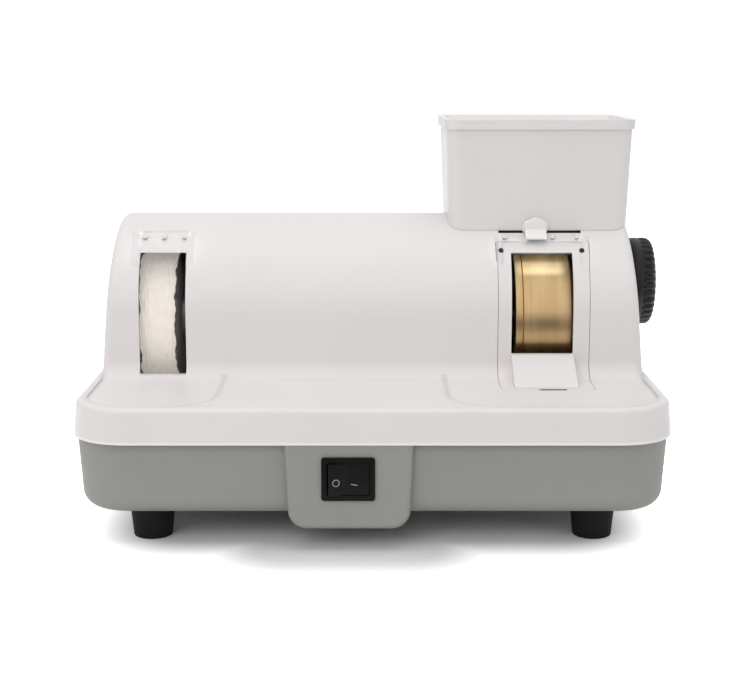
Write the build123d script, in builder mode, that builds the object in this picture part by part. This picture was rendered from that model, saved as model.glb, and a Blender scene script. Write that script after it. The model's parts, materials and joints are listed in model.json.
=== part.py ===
from build123d import *
import os
from math import cos, degrees, hypot, pi, radians, sin, sqrt, tan

# Hand lens edger: a bench machine with a wet diamond wheel on the right and a
# cloth polishing wheel on the left, both on one motor spindle that lies along X.
# Millimetres. +X is the operator's right, -Y the front, +Z up. The origin is the
# middle of the machine's box, on the bench.

os.makedirs("parts", exist_ok=True)

# Housing skirt and shelf
skirt_width = 354.0
skirt_depth = 230.0
skirt_corner = 35.0
skirt_draft_deg = 5.0
skirt_edge = 3.0
shelf_rise = 21.0
housing_wall = 3.0

# Barrel of the housing, which covers the spindle
barrel_radius = 58.7
barrel_rise = 39.0
barrel_rear_inset = 22.3
barrel_end_inset = 6.5
barrel_end_draft_deg = 4.7
barrel_end_radius = 5.0
cove_radius = 11.0
end_flare = 4.5

# Drip trays sunk in the shelf, with their inner ends measured from the stations
tray_depth = 1.0
tray_corner = 30.0
tray_setback = 8.5
tray_side_inset = 7.5
left_tray_reach = 38.8
right_tray_reach = 61.3

# Lower base, set back under the skirt
base_height = 44.0
base_side_setback = 1.5
base_front_setback = 6.0
base_rear_setback = 2.0
base_corner = 32.0
base_draft_deg = 3.9
base_edge = 10.0
base_wall = 3.0

# Switch boss on the front of the base
boss_offset = -13.5
boss_top_width = 75.0
boss_bottom_width = 70.0
boss_drop = 6.4
boss_corner = 11.0
boss_edge = 3.0
boss_setback = 1.0
boss_depth = 62.0

# Rocker switch, the common 31 by 25.5 mm panel size
bezel_width = 31.0
bezel_height = 25.5
bezel_thickness = 2.0
bezel_corner = 1.6
bezel_side_lap = 2.1
bezel_end_lap = 1.85
switch_body_depth = 20.0
switch_side_wall = 1.0
switch_end_wall = 1.4
switch_well_depth = 12.6
switch_shift = -0.5
switch_drop = 20.0
switch_panel_gap = 0.2
rocker_side_gap = 0.2
rocker_tip_gap = 0.6
rocker_rise = 2.2
rocker_dip = 0.6
rocker_back = 6.0
rocker_tip_deg = 9.0
rocker_edge = 0.5
terminal_width = 4.8
terminal_thickness = 0.8
terminal_length = 9.0
terminal_spacing_x = 7.0
terminal_spacing_z = 9.0

# Feet
foot_height = 20.0
foot_side_inset = 45.0
foot_end_inset = 36.0
foot_top_radius = 13.5
foot_bottom_radius = 11.5
foot_edge = 1.2
foot_recess_radius = 5.0
foot_recess_depth = 8.0
foot_boss_radius = 6.0
foot_boss_height = 10.0

# Screws
m4_radius = 2.0
m4_head_radius = 3.9
m4_head_height = 3.0
m4_clearance = 0.3
screw_fit = 0.05
m2_radius = 1.0
m2_head_radius = 1.7
m2_head_height = 0.8
m2_length = 5.0

# Posts that hold the housing on the base
post_side_inset = 22.0
front_post_inset = 35.0
rear_post_inset = 28.0
post_radius = 5.5
post_recess_depth = 6.0
post_grip = 14.0

# Spindle and motor; the spindle lies in front of and below the barrel's axis
spindle_forward = 6.0
spindle_drop = 8.0
shaft_radius = 6.0
shaft_middle_radius = 7.5
shaft_stub = 4.0
shaft_chamfer = 1.0
motor_left_gap = 20.5
motor_right_gap = 16.0
motor_wall_gap = 2.1
motor_case_wall = 2.5
end_bell_thickness = 12.0
end_bell_spoke_holes = 6
end_bell_hole_radius = 5.0
stator_depth = 15.0
rotor_gap = 0.4
winding_length = 15.0
winding_end_gap = 6.0
winding_inset = 1.6
winding_case_gap = 2.5
bearing_outer_radius = 16.0
bearing_width = 10.0
bearing_race = 2.6
running_gap = 0.05
seat_gap = 0.1

# Motor cradle and straps
cradle_end_inset = 10.0
cradle_foot_spread = 4.0
cradle_top_inset = 8.0
cradle_sheet = 3.0
cradle_rise = 20.0
strap_width = 10.0
strap_thickness = 1.5
strap_ear = 12.0

# Run capacitor
capacitor_radius = 15.0
capacitor_length = 58.0
capacitor_shift = 11.5
capacitor_clip_width = 14.0
capacitor_clip_thickness = 1.5
capacitor_gap = 7.5

# Grinding station, measured from the right edge of the skirt
grind_inset = 70.7
window_side_gap = 1.05
window_top_deg = 40.35
grind_sill = 15.0
window_corner = 0.8
wheel_setback = 7.7
wheel_width = 36.5
wheel_shift = 2.0
rim_thickness = 8.0
rim_chamfer = 1.2
groove_inset = 5.2
groove_width = 0.9
groove_depth = 0.7
core_web = 12.0
core_hub_radius = 16.0
core_hub_width = 22.0
flange_radius = 14.0
flange_thickness = 3.0
nut_flat_radius = 9.0
nut_height = 8.0

# Polishing station, measured from the left edge of the skirt
polish_inset = 45.5
polish_window_width = 29.4
polish_sill = 2.0
buff_setback = 6.7
buff_width = 23.0
buff_shift = -3.3
buff_plies = 5
buff_ply_gap = 0.8
buff_ply_depth = 3.0
buff_crown = 1.6
polish_flange_radius = 20.0
polish_flange_thickness = 4.0

# Insert plate of the grinding station
insert_width = 57.0
insert_shift = 0.9
insert_thickness = 1.6
insert_gap = 0.35
insert_top_deg = 48.5
insert_corner = 5.0
insert_front_reach = 34.0
insert_ledge = 5.0
block_top_depth = 3.0
block_toe_gap = 4.0
block_toe = 0.8
finger_slot_width = 18.0
finger_slot_depth = 3.0
finger_slot_shift = 3.0
insert_screw_inset = 3.0
insert_screw_deg = 41.9

# Clear guards, each a strip with two wings that splay out beside the window
guard_thickness = 1.5
guard_seat_gap = 0.2
wing_height = 5.0
wing_splay = 4.4
wing_lift = 1.2
wing_root = 1.2
wing_drop_deg = 5.0
grind_guard_width = 50.8
grind_guard_high_deg = 54.3
grind_guard_low_deg = 47.0
grind_wing_low_deg = 32.0
grind_guard_screws = 4
grind_guard_spacing = 15.3
polish_guard_width = 30.6
polish_guard_high_deg = 57.0
polish_guard_low_deg = 41.3
polish_wing_low_deg = 30.0
polish_guard_screws = 3
polish_guard_spacing = 12.4
guard_screw_deg = 51.6
guard_head_radius = 1.7
guard_head_height = 0.5

# Sponge holder and its felt
slot_deg = 58.0
slot_width = 52.4
slot_thickness = 2.8
holder_thickness = 1.4
holder_neck_width = 15.0
holder_neck_shift = -3.0
holder_slot_gap = 4.2
holder_inner_reach = 12.5
holder_shoulder = 4.0
holder_tab_width = 16.5
holder_tab_top_width = 14.4
holder_tab_shoulder = 7.2
holder_tab_reach = 11.2
holder_tab_round = 1.6
holder_lip_width = 13.2
holder_lip_length = 10.6
holder_lip_thickness = 1.0
holder_lip_gap = 0.8
felt_slot_gap = 0.3
felt_overlap = 3.0
felt_wheel_gap = 0.3

# Water tank, measured from the middle of the grinding station
tank_shift = -0.7
tank_top_width = 118.5
tank_top_depth = 97.8
tank_top_rise = 61.6
tank_front_reach = 33.8
tank_low_rise = 22.0
tank_side_draft_deg = 1.9
tank_front_draft_deg = 3.0
tank_corner = 10.0
tank_wall = 2.5
tank_lip = 1.3
tank_lip_height = 6.0
tank_seat_gap = 0.3
spout_forward = 19.0
spout_radius = 4.0
spout_bore = 2.0
spout_collar_radius = 6.5
spout_collar_height = 2.0
spout_wheel_gap = 8.0
spout_gap = 1.0

# Side port and its ribbed cap
port_rise = 13.8
port_radius = 23.0
port_collar_wall = 3.6
port_collar_setback = 6.5
cap_gap = 0.3
cap_height = 12.2
cap_overhang = 1.9
cap_edge = 4.5
cap_rib_inset = 8.3
cap_ribs = 32
cap_rib_depth = 1.1
cap_rib_share = 0.5
cap_stem_length = 12.0
cap_stem_wall = 3.0
cap_stem_fit = 0.3
cap_rim_width = 9.5
cap_dish_depth = 3.0
cap_dish_slope_deg = 45.0

# Splash partitions and pans inside the housing
partition_thickness = 3.0
partition_gap = 0.3
partition_drop = 5.0
partition_hole_gap = 1.5
partition_buff_gap = 9.8
partition_wheel_gap = 13.0
pan_wall = 2.0
pan_width = 50.0
pan_front_reach = 46.0
pan_rear_reach = 43.0
pan_rim_drop = 6.0
lint_pan_width = 38.0
pan_seat_gap = 0.1

# Drain spigot at the rear: a body through the wall and a hose nozzle outside
spigot_radius = 5.0
spigot_bore = 3.2
spigot_reach = 12.0
spigot_rise = 9.0
spigot_body_wall = 1.0
spigot_flange_lap = 1.9
spigot_flange_thickness = 2.5
spigot_seat_gap = 0.7
spigot_nose = 0.7

# Mains inlet at the rear, a common three-pin appliance inlet
inlet_offset = -60.0
inlet_drop = 20.0
inlet_flange_width = 31.0
inlet_flange_height = 25.0
inlet_flange_thickness = 2.0
inlet_side_lap = 1.8
inlet_end_lap = 2.3
inlet_body_depth = 24.0
inlet_side_wall = 1.5
inlet_end_wall = 1.9
inlet_well_depth = 16.0
inlet_well_corner = 3.4
inlet_pin_width = 4.0
inlet_pin_thickness = 2.0
inlet_pin_spacing = 14.0
inlet_earth_rise = 4.0

# One overrun serves every cut that has to pass clean through
overrun = 5.0

# The machine's box is centred on the origin, so the housing stands a little
# to the left, because of the cap, and a little back or forward, as the rocker
# in front and the drain spigot at the rear reach out by different amounts
rocker_half_width = bezel_width / 2 - bezel_side_lap - switch_side_wall - rocker_tip_gap
rocker_reach = rocker_half_width * sin(radians(rocker_tip_deg))
rocker_reach += rocker_rise * cos(radians(rocker_tip_deg))
port_collar_reach = skirt_width / 2 - port_collar_setback
cap_reach = port_collar_reach + cap_gap + cap_height
front_reach = skirt_depth / 2 - boss_setback + bezel_thickness / 2 + rocker_reach
rear_reach = skirt_depth / 2 + spigot_reach
housing_x = (skirt_width / 2 - cap_reach) / 2
housing_y = (front_reach - rear_reach) / 2
front_y = housing_y - skirt_depth / 2
rear_y = housing_y + skirt_depth / 2

# Levels, from the bench up
base_bottom_z = foot_height
base_floor_z = base_bottom_z + base_wall
seam_z = base_bottom_z + base_height
shelf_z = seam_z + shelf_rise
tray_floor_z = shelf_z - tray_depth
barrel_z = shelf_z + barrel_rise
crest_z = barrel_z + barrel_radius
spindle_z = barrel_z - spindle_drop
window_high_z = barrel_z + barrel_radius * sin(radians(window_top_deg))

barrel_width = skirt_width - 2 * barrel_end_inset
barrel_y = rear_y - barrel_rear_inset - barrel_radius
barrel_front_y = barrel_y - barrel_radius
spindle_y = barrel_y - spindle_forward
grind_x = housing_x + skirt_width / 2 - grind_inset
polish_x = housing_x - skirt_width / 2 + polish_inset

# The two wheels on the spindle, and the partitions beside them
wheel_radius = spindle_y - barrel_front_y - wheel_setback
wheel_x = grind_x + wheel_shift
wheel_left_x = wheel_x - wheel_width / 2
buff_radius = spindle_y - barrel_front_y - buff_setback
buff_x = polish_x + buff_shift
flange_right_x = buff_x + buff_width / 2 + polish_flange_thickness
left_partition_x = flange_right_x + partition_buff_gap + partition_thickness / 2
right_partition_x = wheel_left_x - partition_wheel_gap - partition_thickness / 2


def barrel_point(rise_deg, height):
    """Place at a height over the barrel's skin, as an angle up from the front."""
    reach = barrel_radius + height
    return (barrel_y - reach * cos(radians(rise_deg)), barrel_z + reach * sin(radians(rise_deg)))


def barrel_plane(x, rise_deg, height):
    """Plane tangent to the barrel, with its normal pointing out of the housing."""
    place_y, place_z = barrel_point(rise_deg, height)
    outward = (0, -cos(radians(rise_deg)), sin(radians(rise_deg)))
    return Plane(origin=(x, place_y, place_z), x_dir=(1, 0, 0), z_dir=outward)


def skin_outline(outer_depth, inner_depth, foot_y, rise_deg):
    """Closed outline, in Y and Z, of a band that follows the front of the housing.

    It runs from foot_y on the tray floor, through the cove, up the front wall and
    round the barrel. The depths are measured inwards from the outer skin.
    """
    cove_y = barrel_front_y - cove_radius
    cove_z = tray_floor_z + cove_radius
    ends = []
    for depth in (outer_depth, inner_depth):
        foot = (foot_y, tray_floor_z - depth)
        Line(foot, (cove_y, tray_floor_z - depth))
        CenterArc((cove_y, cove_z), cove_radius + depth, -90, 90)
        Line((barrel_front_y + depth, cove_z), (barrel_front_y + depth, barrel_z))
        CenterArc((barrel_y, barrel_z), barrel_radius - depth, 180 - rise_deg, rise_deg)
        ends.append((foot, barrel_point(rise_deg, -depth)))
    Line(ends[0][0], ends[1][0])
    Line(ends[0][1], ends[1][1])


def barrel_outline(radius, low_z):
    """Closed outline, in Y and Z, of the barrel's section down to a height."""
    Line((barrel_y - radius, low_z), (barrel_y - radius, barrel_z))
    CenterArc((barrel_y, barrel_z), radius, 0, 180)
    Line((barrel_y + radius, barrel_z), (barrel_y + radius, low_z))
    Line((barrel_y + radius, low_z), (barrel_y - radius, low_z))


# Barrel of the housing: an arched section, with drafted ends and a cove at its foot
cove_share_top = 0.93
cove_top_z = shelf_z + cove_share_top * cove_radius
cove_angles = (24, 46, 63, 76)

with BuildPart() as barrel:
    with BuildSketch(Plane.YZ.offset(housing_x)):
        with BuildLine():
            barrel_outline(barrel_radius, cove_top_z)
        make_face()
    extrude(amount=barrel_width / 2, both=True)
    with BuildSketch(Plane.XY.offset(shelf_z)):
        with Locations((housing_x, barrel_y)):
            Rectangle(barrel_width, 4 * barrel_radius)
    extrude(amount=2 * barrel_radius, taper=barrel_end_draft_deg, mode=Mode.INTERSECT)
    for end_face in (barrel.faces().sort_by(Axis.X)[0], barrel.faces().sort_by(Axis.X)[-1]):
        fillet(end_face.edges().sort_by(Axis.Z)[1:], barrel_end_radius)
    foot_faces = [barrel.faces().sort_by(Axis.Z)[0]]
    foot_size = foot_faces[0].bounding_box().size
    for angle in cove_angles:
        spread = cove_radius * (1 - cos(radians(angle)))
        side_spread = end_flare * (1 - cos(radians(angle)))
        with BuildSketch(Plane.XY.offset(cove_top_z - cove_radius * sin(radians(angle)))) as foot_ring:
            with Locations((housing_x, barrel_y)):
                RectangleRounded(
                    foot_size.X + 2 * side_spread,
                    foot_size.Y + 2 * spread,
                    barrel_end_radius + spread,
                )
        foot_faces.append(foot_ring.sketch.face())
    toe_drop = 1.5 * tray_depth
    toe_spread = spread + toe_drop * tan(radians(cove_angles[-1]))
    toe_z = cove_top_z - cove_radius * sin(radians(cove_angles[-1])) - toe_drop
    with BuildSketch(Plane.XY.offset(toe_z)) as foot_ring:
        with Locations((housing_x, barrel_y)):
            RectangleRounded(
                foot_size.X + 2 * side_spread,
                foot_size.Y + 2 * toe_spread,
                barrel_end_radius + toe_spread,
            )
    foot_faces.append(foot_ring.sketch.face())
    loft(foot_faces)

with BuildPart() as barrel_cavity:
    with BuildSketch(Plane.YZ.offset(housing_x)):
        with BuildLine():
            barrel_outline(barrel_radius - housing_wall, seam_z)
        make_face()
    extrude(amount=barrel_width / 2, both=True)
    with BuildSketch(Plane.XY.offset(seam_z)):
        with Locations((housing_x, barrel_y)):
            Rectangle(barrel_width - 2 * housing_wall, 4 * barrel_radius)
    extrude(amount=3 * barrel_radius, taper=barrel_end_draft_deg, mode=Mode.INTERSECT)


# Upper housing
post_places = [
    (housing_x + side * (skirt_width / 2 - post_side_inset), post_y)
    for side in (-1, 1)
    for post_y in (front_y + front_post_inset, rear_y - rear_post_inset)
]
insert_x = grind_x + insert_shift
insert_front_y = barrel_front_y - insert_front_reach
insert_screw_spacing = insert_width - 2 * insert_screw_inset
finger_slot_x = grind_x + finger_slot_shift
port_y = barrel_y
port_z = barrel_z + port_rise
port_collar_radius = port_radius + port_collar_wall
spout_y = barrel_y - spout_forward

# Recess of the insert plate in the housing's skin
recess_depth = insert_thickness + insert_gap / 2
recess_top_deg = insert_top_deg + degrees(insert_gap / barrel_radius)
with BuildPart() as insert_recess:
    with BuildSketch(Plane.YZ.offset(insert_x)):
        with BuildLine():
            skin_outline(-overrun, recess_depth, insert_front_y - insert_gap, recess_top_deg)
        make_face()
    extrude(amount=insert_width / 2 + insert_gap, both=True)
    recess_corners = insert_recess.edges().filter_by(Axis.Z).group_by(Axis.Y)[0]
    fillet(recess_corners, insert_corner + insert_gap)

with BuildPart() as upper_housing:
    with BuildSketch(Plane.XY.offset(seam_z)):
        with Locations((housing_x, housing_y)):
            RectangleRounded(skirt_width, skirt_depth, skirt_corner)
    extrude(amount=shelf_z - seam_z, taper=skirt_draft_deg)
    fillet(upper_housing.faces().sort_by(Axis.Z)[-1].edges(), skirt_edge)
    # Drip trays
    for tray_left, tray_right in (
        (housing_x - skirt_width / 2 + tray_side_inset, polish_x + left_tray_reach),
        (grind_x - right_tray_reach, housing_x + skirt_width / 2 - tray_side_inset),
    ):
        tray_x = (tray_left + tray_right) / 2
        tray_front_y = front_y + tray_setback
        with BuildSketch(Plane.XY.offset(shelf_z)) as tray:
            with Locations((tray_x, (tray_front_y + barrel_y) / 2)):
                Rectangle(tray_right - tray_left, barrel_y - tray_front_y)
            fillet(tray.vertices().group_by(Axis.Y)[0], tray_corner)
        extrude(amount=-tray_depth, mode=Mode.SUBTRACT)
    add(barrel.part)
    # Collar round the side port
    with BuildSketch(Plane.YZ.offset(housing_x + port_collar_reach)):
        with Locations((port_y, port_z)):
            Circle(port_collar_radius)
    extrude(amount=barrel_width / 2 - 4 * housing_wall - port_collar_reach)
    # Hollow inside
    with BuildSketch(Plane.XY.offset(seam_z)):
        with Locations((housing_x, housing_y)):
            RectangleRounded(
                skirt_width - 2 * housing_wall,
                skirt_depth - 2 * housing_wall,
                skirt_corner - housing_wall,
            )
    extrude(amount=shelf_z - housing_wall - seam_z, taper=skirt_draft_deg, mode=Mode.SUBTRACT)
    add(barrel_cavity.part, mode=Mode.SUBTRACT)
    # Posts for the housing screws
    with BuildSketch(Plane.XY.offset(seam_z)):
        with Locations(*post_places):
            Circle(post_radius)
    extrude(amount=shelf_z - housing_wall - seam_z)
    with BuildSketch(Plane.XY.offset(seam_z)):
        with Locations(*post_places):
            Circle(m4_radius + screw_fit)
    extrude(amount=post_grip + m4_radius, mode=Mode.SUBTRACT)
    # Polishing window
    polish_low_z = shelf_z + polish_sill
    with BuildSketch(Plane.XZ.offset(-barrel_y)):
        with Locations((polish_x, (polish_low_z + window_high_z) / 2)):
            RectangleRounded(polish_window_width, window_high_z - polish_low_z, window_corner)
    extrude(amount=barrel_radius + 2 * cove_radius, mode=Mode.SUBTRACT)
    # Recess and opening for the insert plate, and the finger slot at its foot
    add(insert_recess.part, mode=Mode.SUBTRACT)
    with BuildSketch(Plane.XY.offset(shelf_z)):
        with Locations((finger_slot_x, insert_front_y - insert_gap + finger_slot_depth / 2)):
            Rectangle(finger_slot_width, finger_slot_depth)
    extrude(amount=-2 * housing_wall, mode=Mode.SUBTRACT)
    ledge_top_deg = insert_top_deg - degrees(insert_ledge / barrel_radius)
    with BuildSketch(Plane.YZ.offset(insert_x)):
        with BuildLine():
            skin_outline(-overrun, 2 * housing_wall, insert_front_y + insert_ledge, ledge_top_deg)
        make_face()
    extrude(amount=insert_width / 2 - insert_ledge, both=True, mode=Mode.SUBTRACT)
    # Slot for the sponge holder
    with BuildSketch(barrel_plane(grind_x, slot_deg, overrun)):
        Rectangle(slot_width, slot_thickness)
    extrude(amount=-2 * overrun - housing_wall, mode=Mode.SUBTRACT)
    # Hole for the tank's spout
    with BuildSketch(Plane.XY.offset(barrel_z)):
        with Locations((grind_x, spout_y)):
            Circle(spout_radius + spout_gap)
    extrude(amount=barrel_radius + overrun, mode=Mode.SUBTRACT)
    # Side port
    with BuildSketch(Plane.YZ.offset(housing_x + port_collar_reach + overrun)):
        with Locations((port_y, port_z)):
            Circle(port_radius)
    extrude(amount=-overrun - 8 * housing_wall, mode=Mode.SUBTRACT)
    # Pilot holes for the guard and insert screws
    for station_x, count, spacing in (
        (grind_x, grind_guard_screws, grind_guard_spacing),
        (polish_x, polish_guard_screws, polish_guard_spacing),
    ):
        with BuildSketch(barrel_plane(station_x, guard_screw_deg, overrun)):
            with GridLocations(spacing, spacing, count, 1):
                Circle(m2_radius + screw_fit)
        extrude(amount=-2 * overrun - housing_wall, mode=Mode.SUBTRACT)
    with BuildSketch(barrel_plane(grind_x, insert_screw_deg, overrun)):
        with GridLocations(insert_screw_spacing, insert_screw_spacing, 2, 1):
            Circle(m2_radius + screw_fit)
    extrude(amount=-2 * overrun - housing_wall, mode=Mode.SUBTRACT)
upper_housing.part.label = "upper_housing"
export_step(upper_housing.part, "parts/upper_housing.step")


# Lower base: a drafted tray with a switch boss that hangs below its front edge
base_top_width = skirt_width - 2 * base_side_setback
base_top_depth = skirt_depth - base_front_setback - base_rear_setback
base_rear_face_y = rear_y - base_rear_setback
base_y = base_rear_face_y - base_top_depth / 2
boss_x = housing_x + boss_offset
boss_face_y = front_y + boss_setback
boss_bottom_z = base_bottom_z - boss_drop
foot_places = {
    f"{end_name}_{side_name}": (housing_x + side * (skirt_width / 2 - foot_side_inset), foot_y)
    for end_name, foot_y in (("front", front_y + foot_end_inset), ("rear", rear_y - foot_end_inset))
    for side_name, side in (("left", -1), ("right", 1))
}
switch_x = boss_x + switch_shift
switch_z = seam_z - switch_drop
switch_body_width = bezel_width - 2 * bezel_side_lap
switch_body_height = bezel_height - 2 * bezel_end_lap
inlet_x = housing_x + inlet_offset
inlet_z = seam_z - inlet_drop
inlet_body_width = inlet_flange_width - 2 * inlet_side_lap
inlet_body_height = inlet_flange_height - 2 * inlet_end_lap
spigot_x = grind_x
spigot_z = base_floor_z + spigot_rise
spigot_body_radius = spigot_radius + spigot_body_wall


def base_rear_y(z):
    """Outer face of the base's drafted rear wall at a height."""
    return base_rear_face_y - (seam_z - z) * tan(radians(base_draft_deg))


def boss_outline(inset):
    """Switch boss seen from the front, drawn in by an inset."""
    Polyline(
        (boss_x - boss_top_width / 2 + inset, seam_z),
        (boss_x - boss_bottom_width / 2 + inset, boss_bottom_z + inset),
        (boss_x + boss_bottom_width / 2 - inset, boss_bottom_z + inset),
        (boss_x + boss_top_width / 2 - inset, seam_z),
        close=True,
    )


with BuildPart() as lower_base:
    with BuildSketch(Plane.XY.offset(seam_z)):
        with Locations((housing_x, base_y)):
            RectangleRounded(base_top_width, base_top_depth, base_corner)
    extrude(amount=base_bottom_z - seam_z, taper=base_draft_deg)
    fillet(lower_base.faces().sort_by(Axis.Z)[0].edges(), base_edge)
    with BuildSketch(Plane.XZ.offset(-boss_face_y)) as boss:
        with BuildLine():
            boss_outline(0)
        make_face()
        fillet(boss.vertices().group_by(Axis.Y)[0], boss_corner)
    extrude(amount=-boss_depth)
    boss_face = lower_base.faces().sort_by(Axis.Y)[0]
    fillet(boss_face.edges().sort_by(Axis.Z)[:-1], boss_edge)
    # Hollow inside
    with BuildSketch(Plane.XY.offset(seam_z)):
        with Locations((housing_x, base_y)):
            RectangleRounded(
                base_top_width - 2 * base_wall,
                base_top_depth - 2 * base_wall,
                base_corner - base_wall,
            )
    extrude(amount=base_floor_z - seam_z, taper=base_draft_deg, mode=Mode.SUBTRACT)
    with BuildSketch(Plane.XZ.offset(-boss_face_y - base_wall)) as boss_hollow:
        with BuildLine():
            boss_outline(base_wall)
        make_face()
        fillet(boss_hollow.vertices().group_by(Axis.Y)[0], boss_corner - base_wall)
    extrude(amount=2 * base_wall - boss_depth, mode=Mode.SUBTRACT)
    # Bosses for the feet and posts for the housing screws
    with BuildSketch(Plane.XY.offset(base_bottom_z + base_wall / 2)):
        with Locations(*foot_places.values()):
            Circle(foot_boss_radius)
    extrude(amount=base_wall / 2 + foot_boss_height)
    with BuildSketch(Plane.XY.offset(base_bottom_z)):
        with Locations(*foot_places.values()):
            Circle(m4_radius + screw_fit)
    extrude(amount=base_wall + foot_boss_height - m4_radius, mode=Mode.SUBTRACT)
    with BuildSketch(Plane.XY.offset(base_bottom_z + base_wall / 2)):
        with Locations(*post_places):
            Circle(post_radius)
    extrude(amount=seam_z - base_bottom_z - base_wall / 2)
    with BuildSketch(Plane.XY.offset(base_bottom_z)):
        with Locations(*post_places):
            Circle(m4_radius + m4_clearance)
    extrude(amount=seam_z - base_bottom_z, mode=Mode.SUBTRACT)
    with BuildSketch(Plane.XY.offset(base_bottom_z)):
        with Locations(*post_places):
            Circle(m4_head_radius + m4_clearance)
    extrude(amount=post_recess_depth, mode=Mode.SUBTRACT)
    # Flat pad for the mains inlet on the drafted rear wall
    with BuildSketch(Plane.XZ.offset(-base_rear_face_y)):
        with Locations((inlet_x, inlet_z)):
            pad_width = inlet_flange_width + base_wall
            pad_height = inlet_flange_height + base_wall
            RectangleRounded(pad_width, pad_height, base_wall)
    extrude(amount=2 * base_wall)
    # Cut-outs for the switch, the mains inlet and the drain
    with BuildSketch(Plane.XZ.offset(overrun - boss_face_y)):
        with Locations((switch_x, switch_z)):
            Rectangle(switch_body_width + 2 * switch_panel_gap, switch_body_height + 2 * switch_panel_gap)
    extrude(amount=-overrun - 2 * base_wall, mode=Mode.SUBTRACT)
    with BuildSketch(Plane.XZ.offset(-base_rear_face_y - overrun)):
        with Locations((inlet_x, inlet_z)):
            Rectangle(inlet_body_width + 2 * switch_panel_gap, inlet_body_height + 2 * switch_panel_gap)
        with Locations((spigot_x, spigot_z)):
            Circle(spigot_body_radius + switch_panel_gap)
    extrude(amount=overrun + 4 * base_wall, mode=Mode.SUBTRACT)
lower_base.part.label = "lower_base"
export_step(lower_base.part, "parts/lower_base.step")


# Feet: turned rubber with a recess for the screw head
foot_taper_deg = degrees((foot_top_radius - foot_bottom_radius) / base_bottom_z)
for corner, place in foot_places.items():
    with BuildPart() as foot:
        with BuildSketch(Plane.XY.offset(base_bottom_z)):
            with Locations(place):
                Circle(foot_top_radius)
        extrude(amount=-base_bottom_z, taper=foot_taper_deg)
        fillet(foot.edges().sort_by(Axis.Z)[0], foot_edge)
        with BuildSketch(Plane.XY):
            with Locations(place):
                Circle(foot_recess_radius)
        extrude(amount=foot_recess_depth, mode=Mode.SUBTRACT)
        with BuildSketch(Plane.XY):
            with Locations(place):
                Circle(m4_radius + m4_clearance)
        extrude(amount=base_bottom_z, mode=Mode.SUBTRACT)
    foot.part.label = f"foot_{corner}"
    export_step(foot.part, f"parts/foot_{corner}.step")

with BuildPart() as foot_screws:
    with BuildSketch(Plane.XY.offset(foot_recess_depth)):
        with Locations(*foot_places.values()):
            Circle(m4_radius)
    extrude(amount=base_floor_z + foot_boss_height - 2 * m4_radius - foot_recess_depth)
    with BuildSketch(Plane.XY.offset(foot_recess_depth)):
        with Locations(*foot_places.values()):
            Circle(m4_head_radius)
    extrude(amount=-m4_head_height)
foot_screws.part.label = "foot_screws"
export_step(foot_screws.part, "parts/foot_screws.step")

with BuildPart() as housing_screws:
    with BuildSketch(Plane.XY.offset(base_bottom_z + post_recess_depth)):
        with Locations(*post_places):
            Circle(m4_radius)
    extrude(amount=seam_z + post_grip - base_bottom_z - post_recess_depth)
    with BuildSketch(Plane.XY.offset(base_bottom_z + post_recess_depth)):
        with Locations(*post_places):
            Circle(m4_head_radius)
    extrude(amount=-m4_head_height)
housing_screws.part.label = "housing_screws"
export_step(housing_screws.part, "parts/housing_screws.step")


# Rocker switch: a body that clips in the boss, and a rocker on a vertical pivot
bezel_face_y = boss_face_y - bezel_thickness
switch_opening_width = switch_body_width - 2 * switch_side_wall
switch_opening_height = switch_body_height - 2 * switch_end_wall
with BuildPart() as switch_body:
    with BuildSketch(Plane.XZ.offset(-bezel_face_y)):
        with Locations((switch_x, switch_z)):
            RectangleRounded(bezel_width, bezel_height, bezel_corner)
    extrude(amount=-bezel_thickness)
    fillet(switch_body.faces().sort_by(Axis.Y)[0].edges(), bezel_thickness / 4)
    with BuildSketch(Plane.XZ.offset(-boss_face_y)):
        with Locations((switch_x, switch_z)):
            Rectangle(switch_body_width, switch_body_height)
    extrude(amount=-switch_body_depth)
    with BuildSketch(Plane.XZ.offset(-bezel_face_y)):
        with Locations((switch_x, switch_z)):
            Rectangle(switch_opening_width, switch_opening_height)
    extrude(amount=-bezel_thickness - switch_well_depth, mode=Mode.SUBTRACT)
switch_body.part.label = "switch_body"
export_step(switch_body.part, "parts/switch_body.step")

rocker_pivot_y = bezel_face_y + bezel_thickness / 2
rocker_radius = switch_opening_width / 2 - rocker_side_gap
rocker_height = switch_opening_height - 2 * rocker_side_gap
rocker_plane = Plane(
    origin=(switch_x, rocker_pivot_y, switch_z - rocker_height / 2),
    x_dir=(cos(radians(rocker_tip_deg)), sin(radians(rocker_tip_deg)), 0),
    z_dir=(0, 0, 1),
)
with BuildPart() as switch_rocker:
    with BuildSketch(rocker_plane):
        Circle(rocker_radius)
        with BuildLine():
            Polyline(
                (-rocker_half_width, -rocker_rise),
                (0, -rocker_dip),
                (rocker_half_width, -rocker_rise),
                (rocker_half_width, rocker_back),
                (-rocker_half_width, rocker_back),
                close=True,
            )
        make_face(mode=Mode.INTERSECT)
    extrude(amount=rocker_height)
    fillet(switch_rocker.faces().sort_by(Axis.Z)[-1].edges().sort_by(Axis.Y)[:2], rocker_edge)
    fillet(switch_rocker.faces().sort_by(Axis.Z)[0].edges().sort_by(Axis.Y)[:2], rocker_edge)
switch_rocker.part.label = "switch_rocker"
export_step(switch_rocker.part, "parts/switch_rocker.step")

with BuildPart() as switch_terminals:
    with BuildSketch(Plane.XZ.offset(-boss_face_y - switch_body_depth)):
        with Locations((switch_x, switch_z)):
            with GridLocations(terminal_spacing_x, terminal_spacing_z, 2, 2):
                Rectangle(terminal_thickness, terminal_width)
    extrude(amount=-terminal_length)
switch_terminals.part.label = "switch_terminals"
export_step(switch_terminals.part, "parts/switch_terminals.step")


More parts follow.
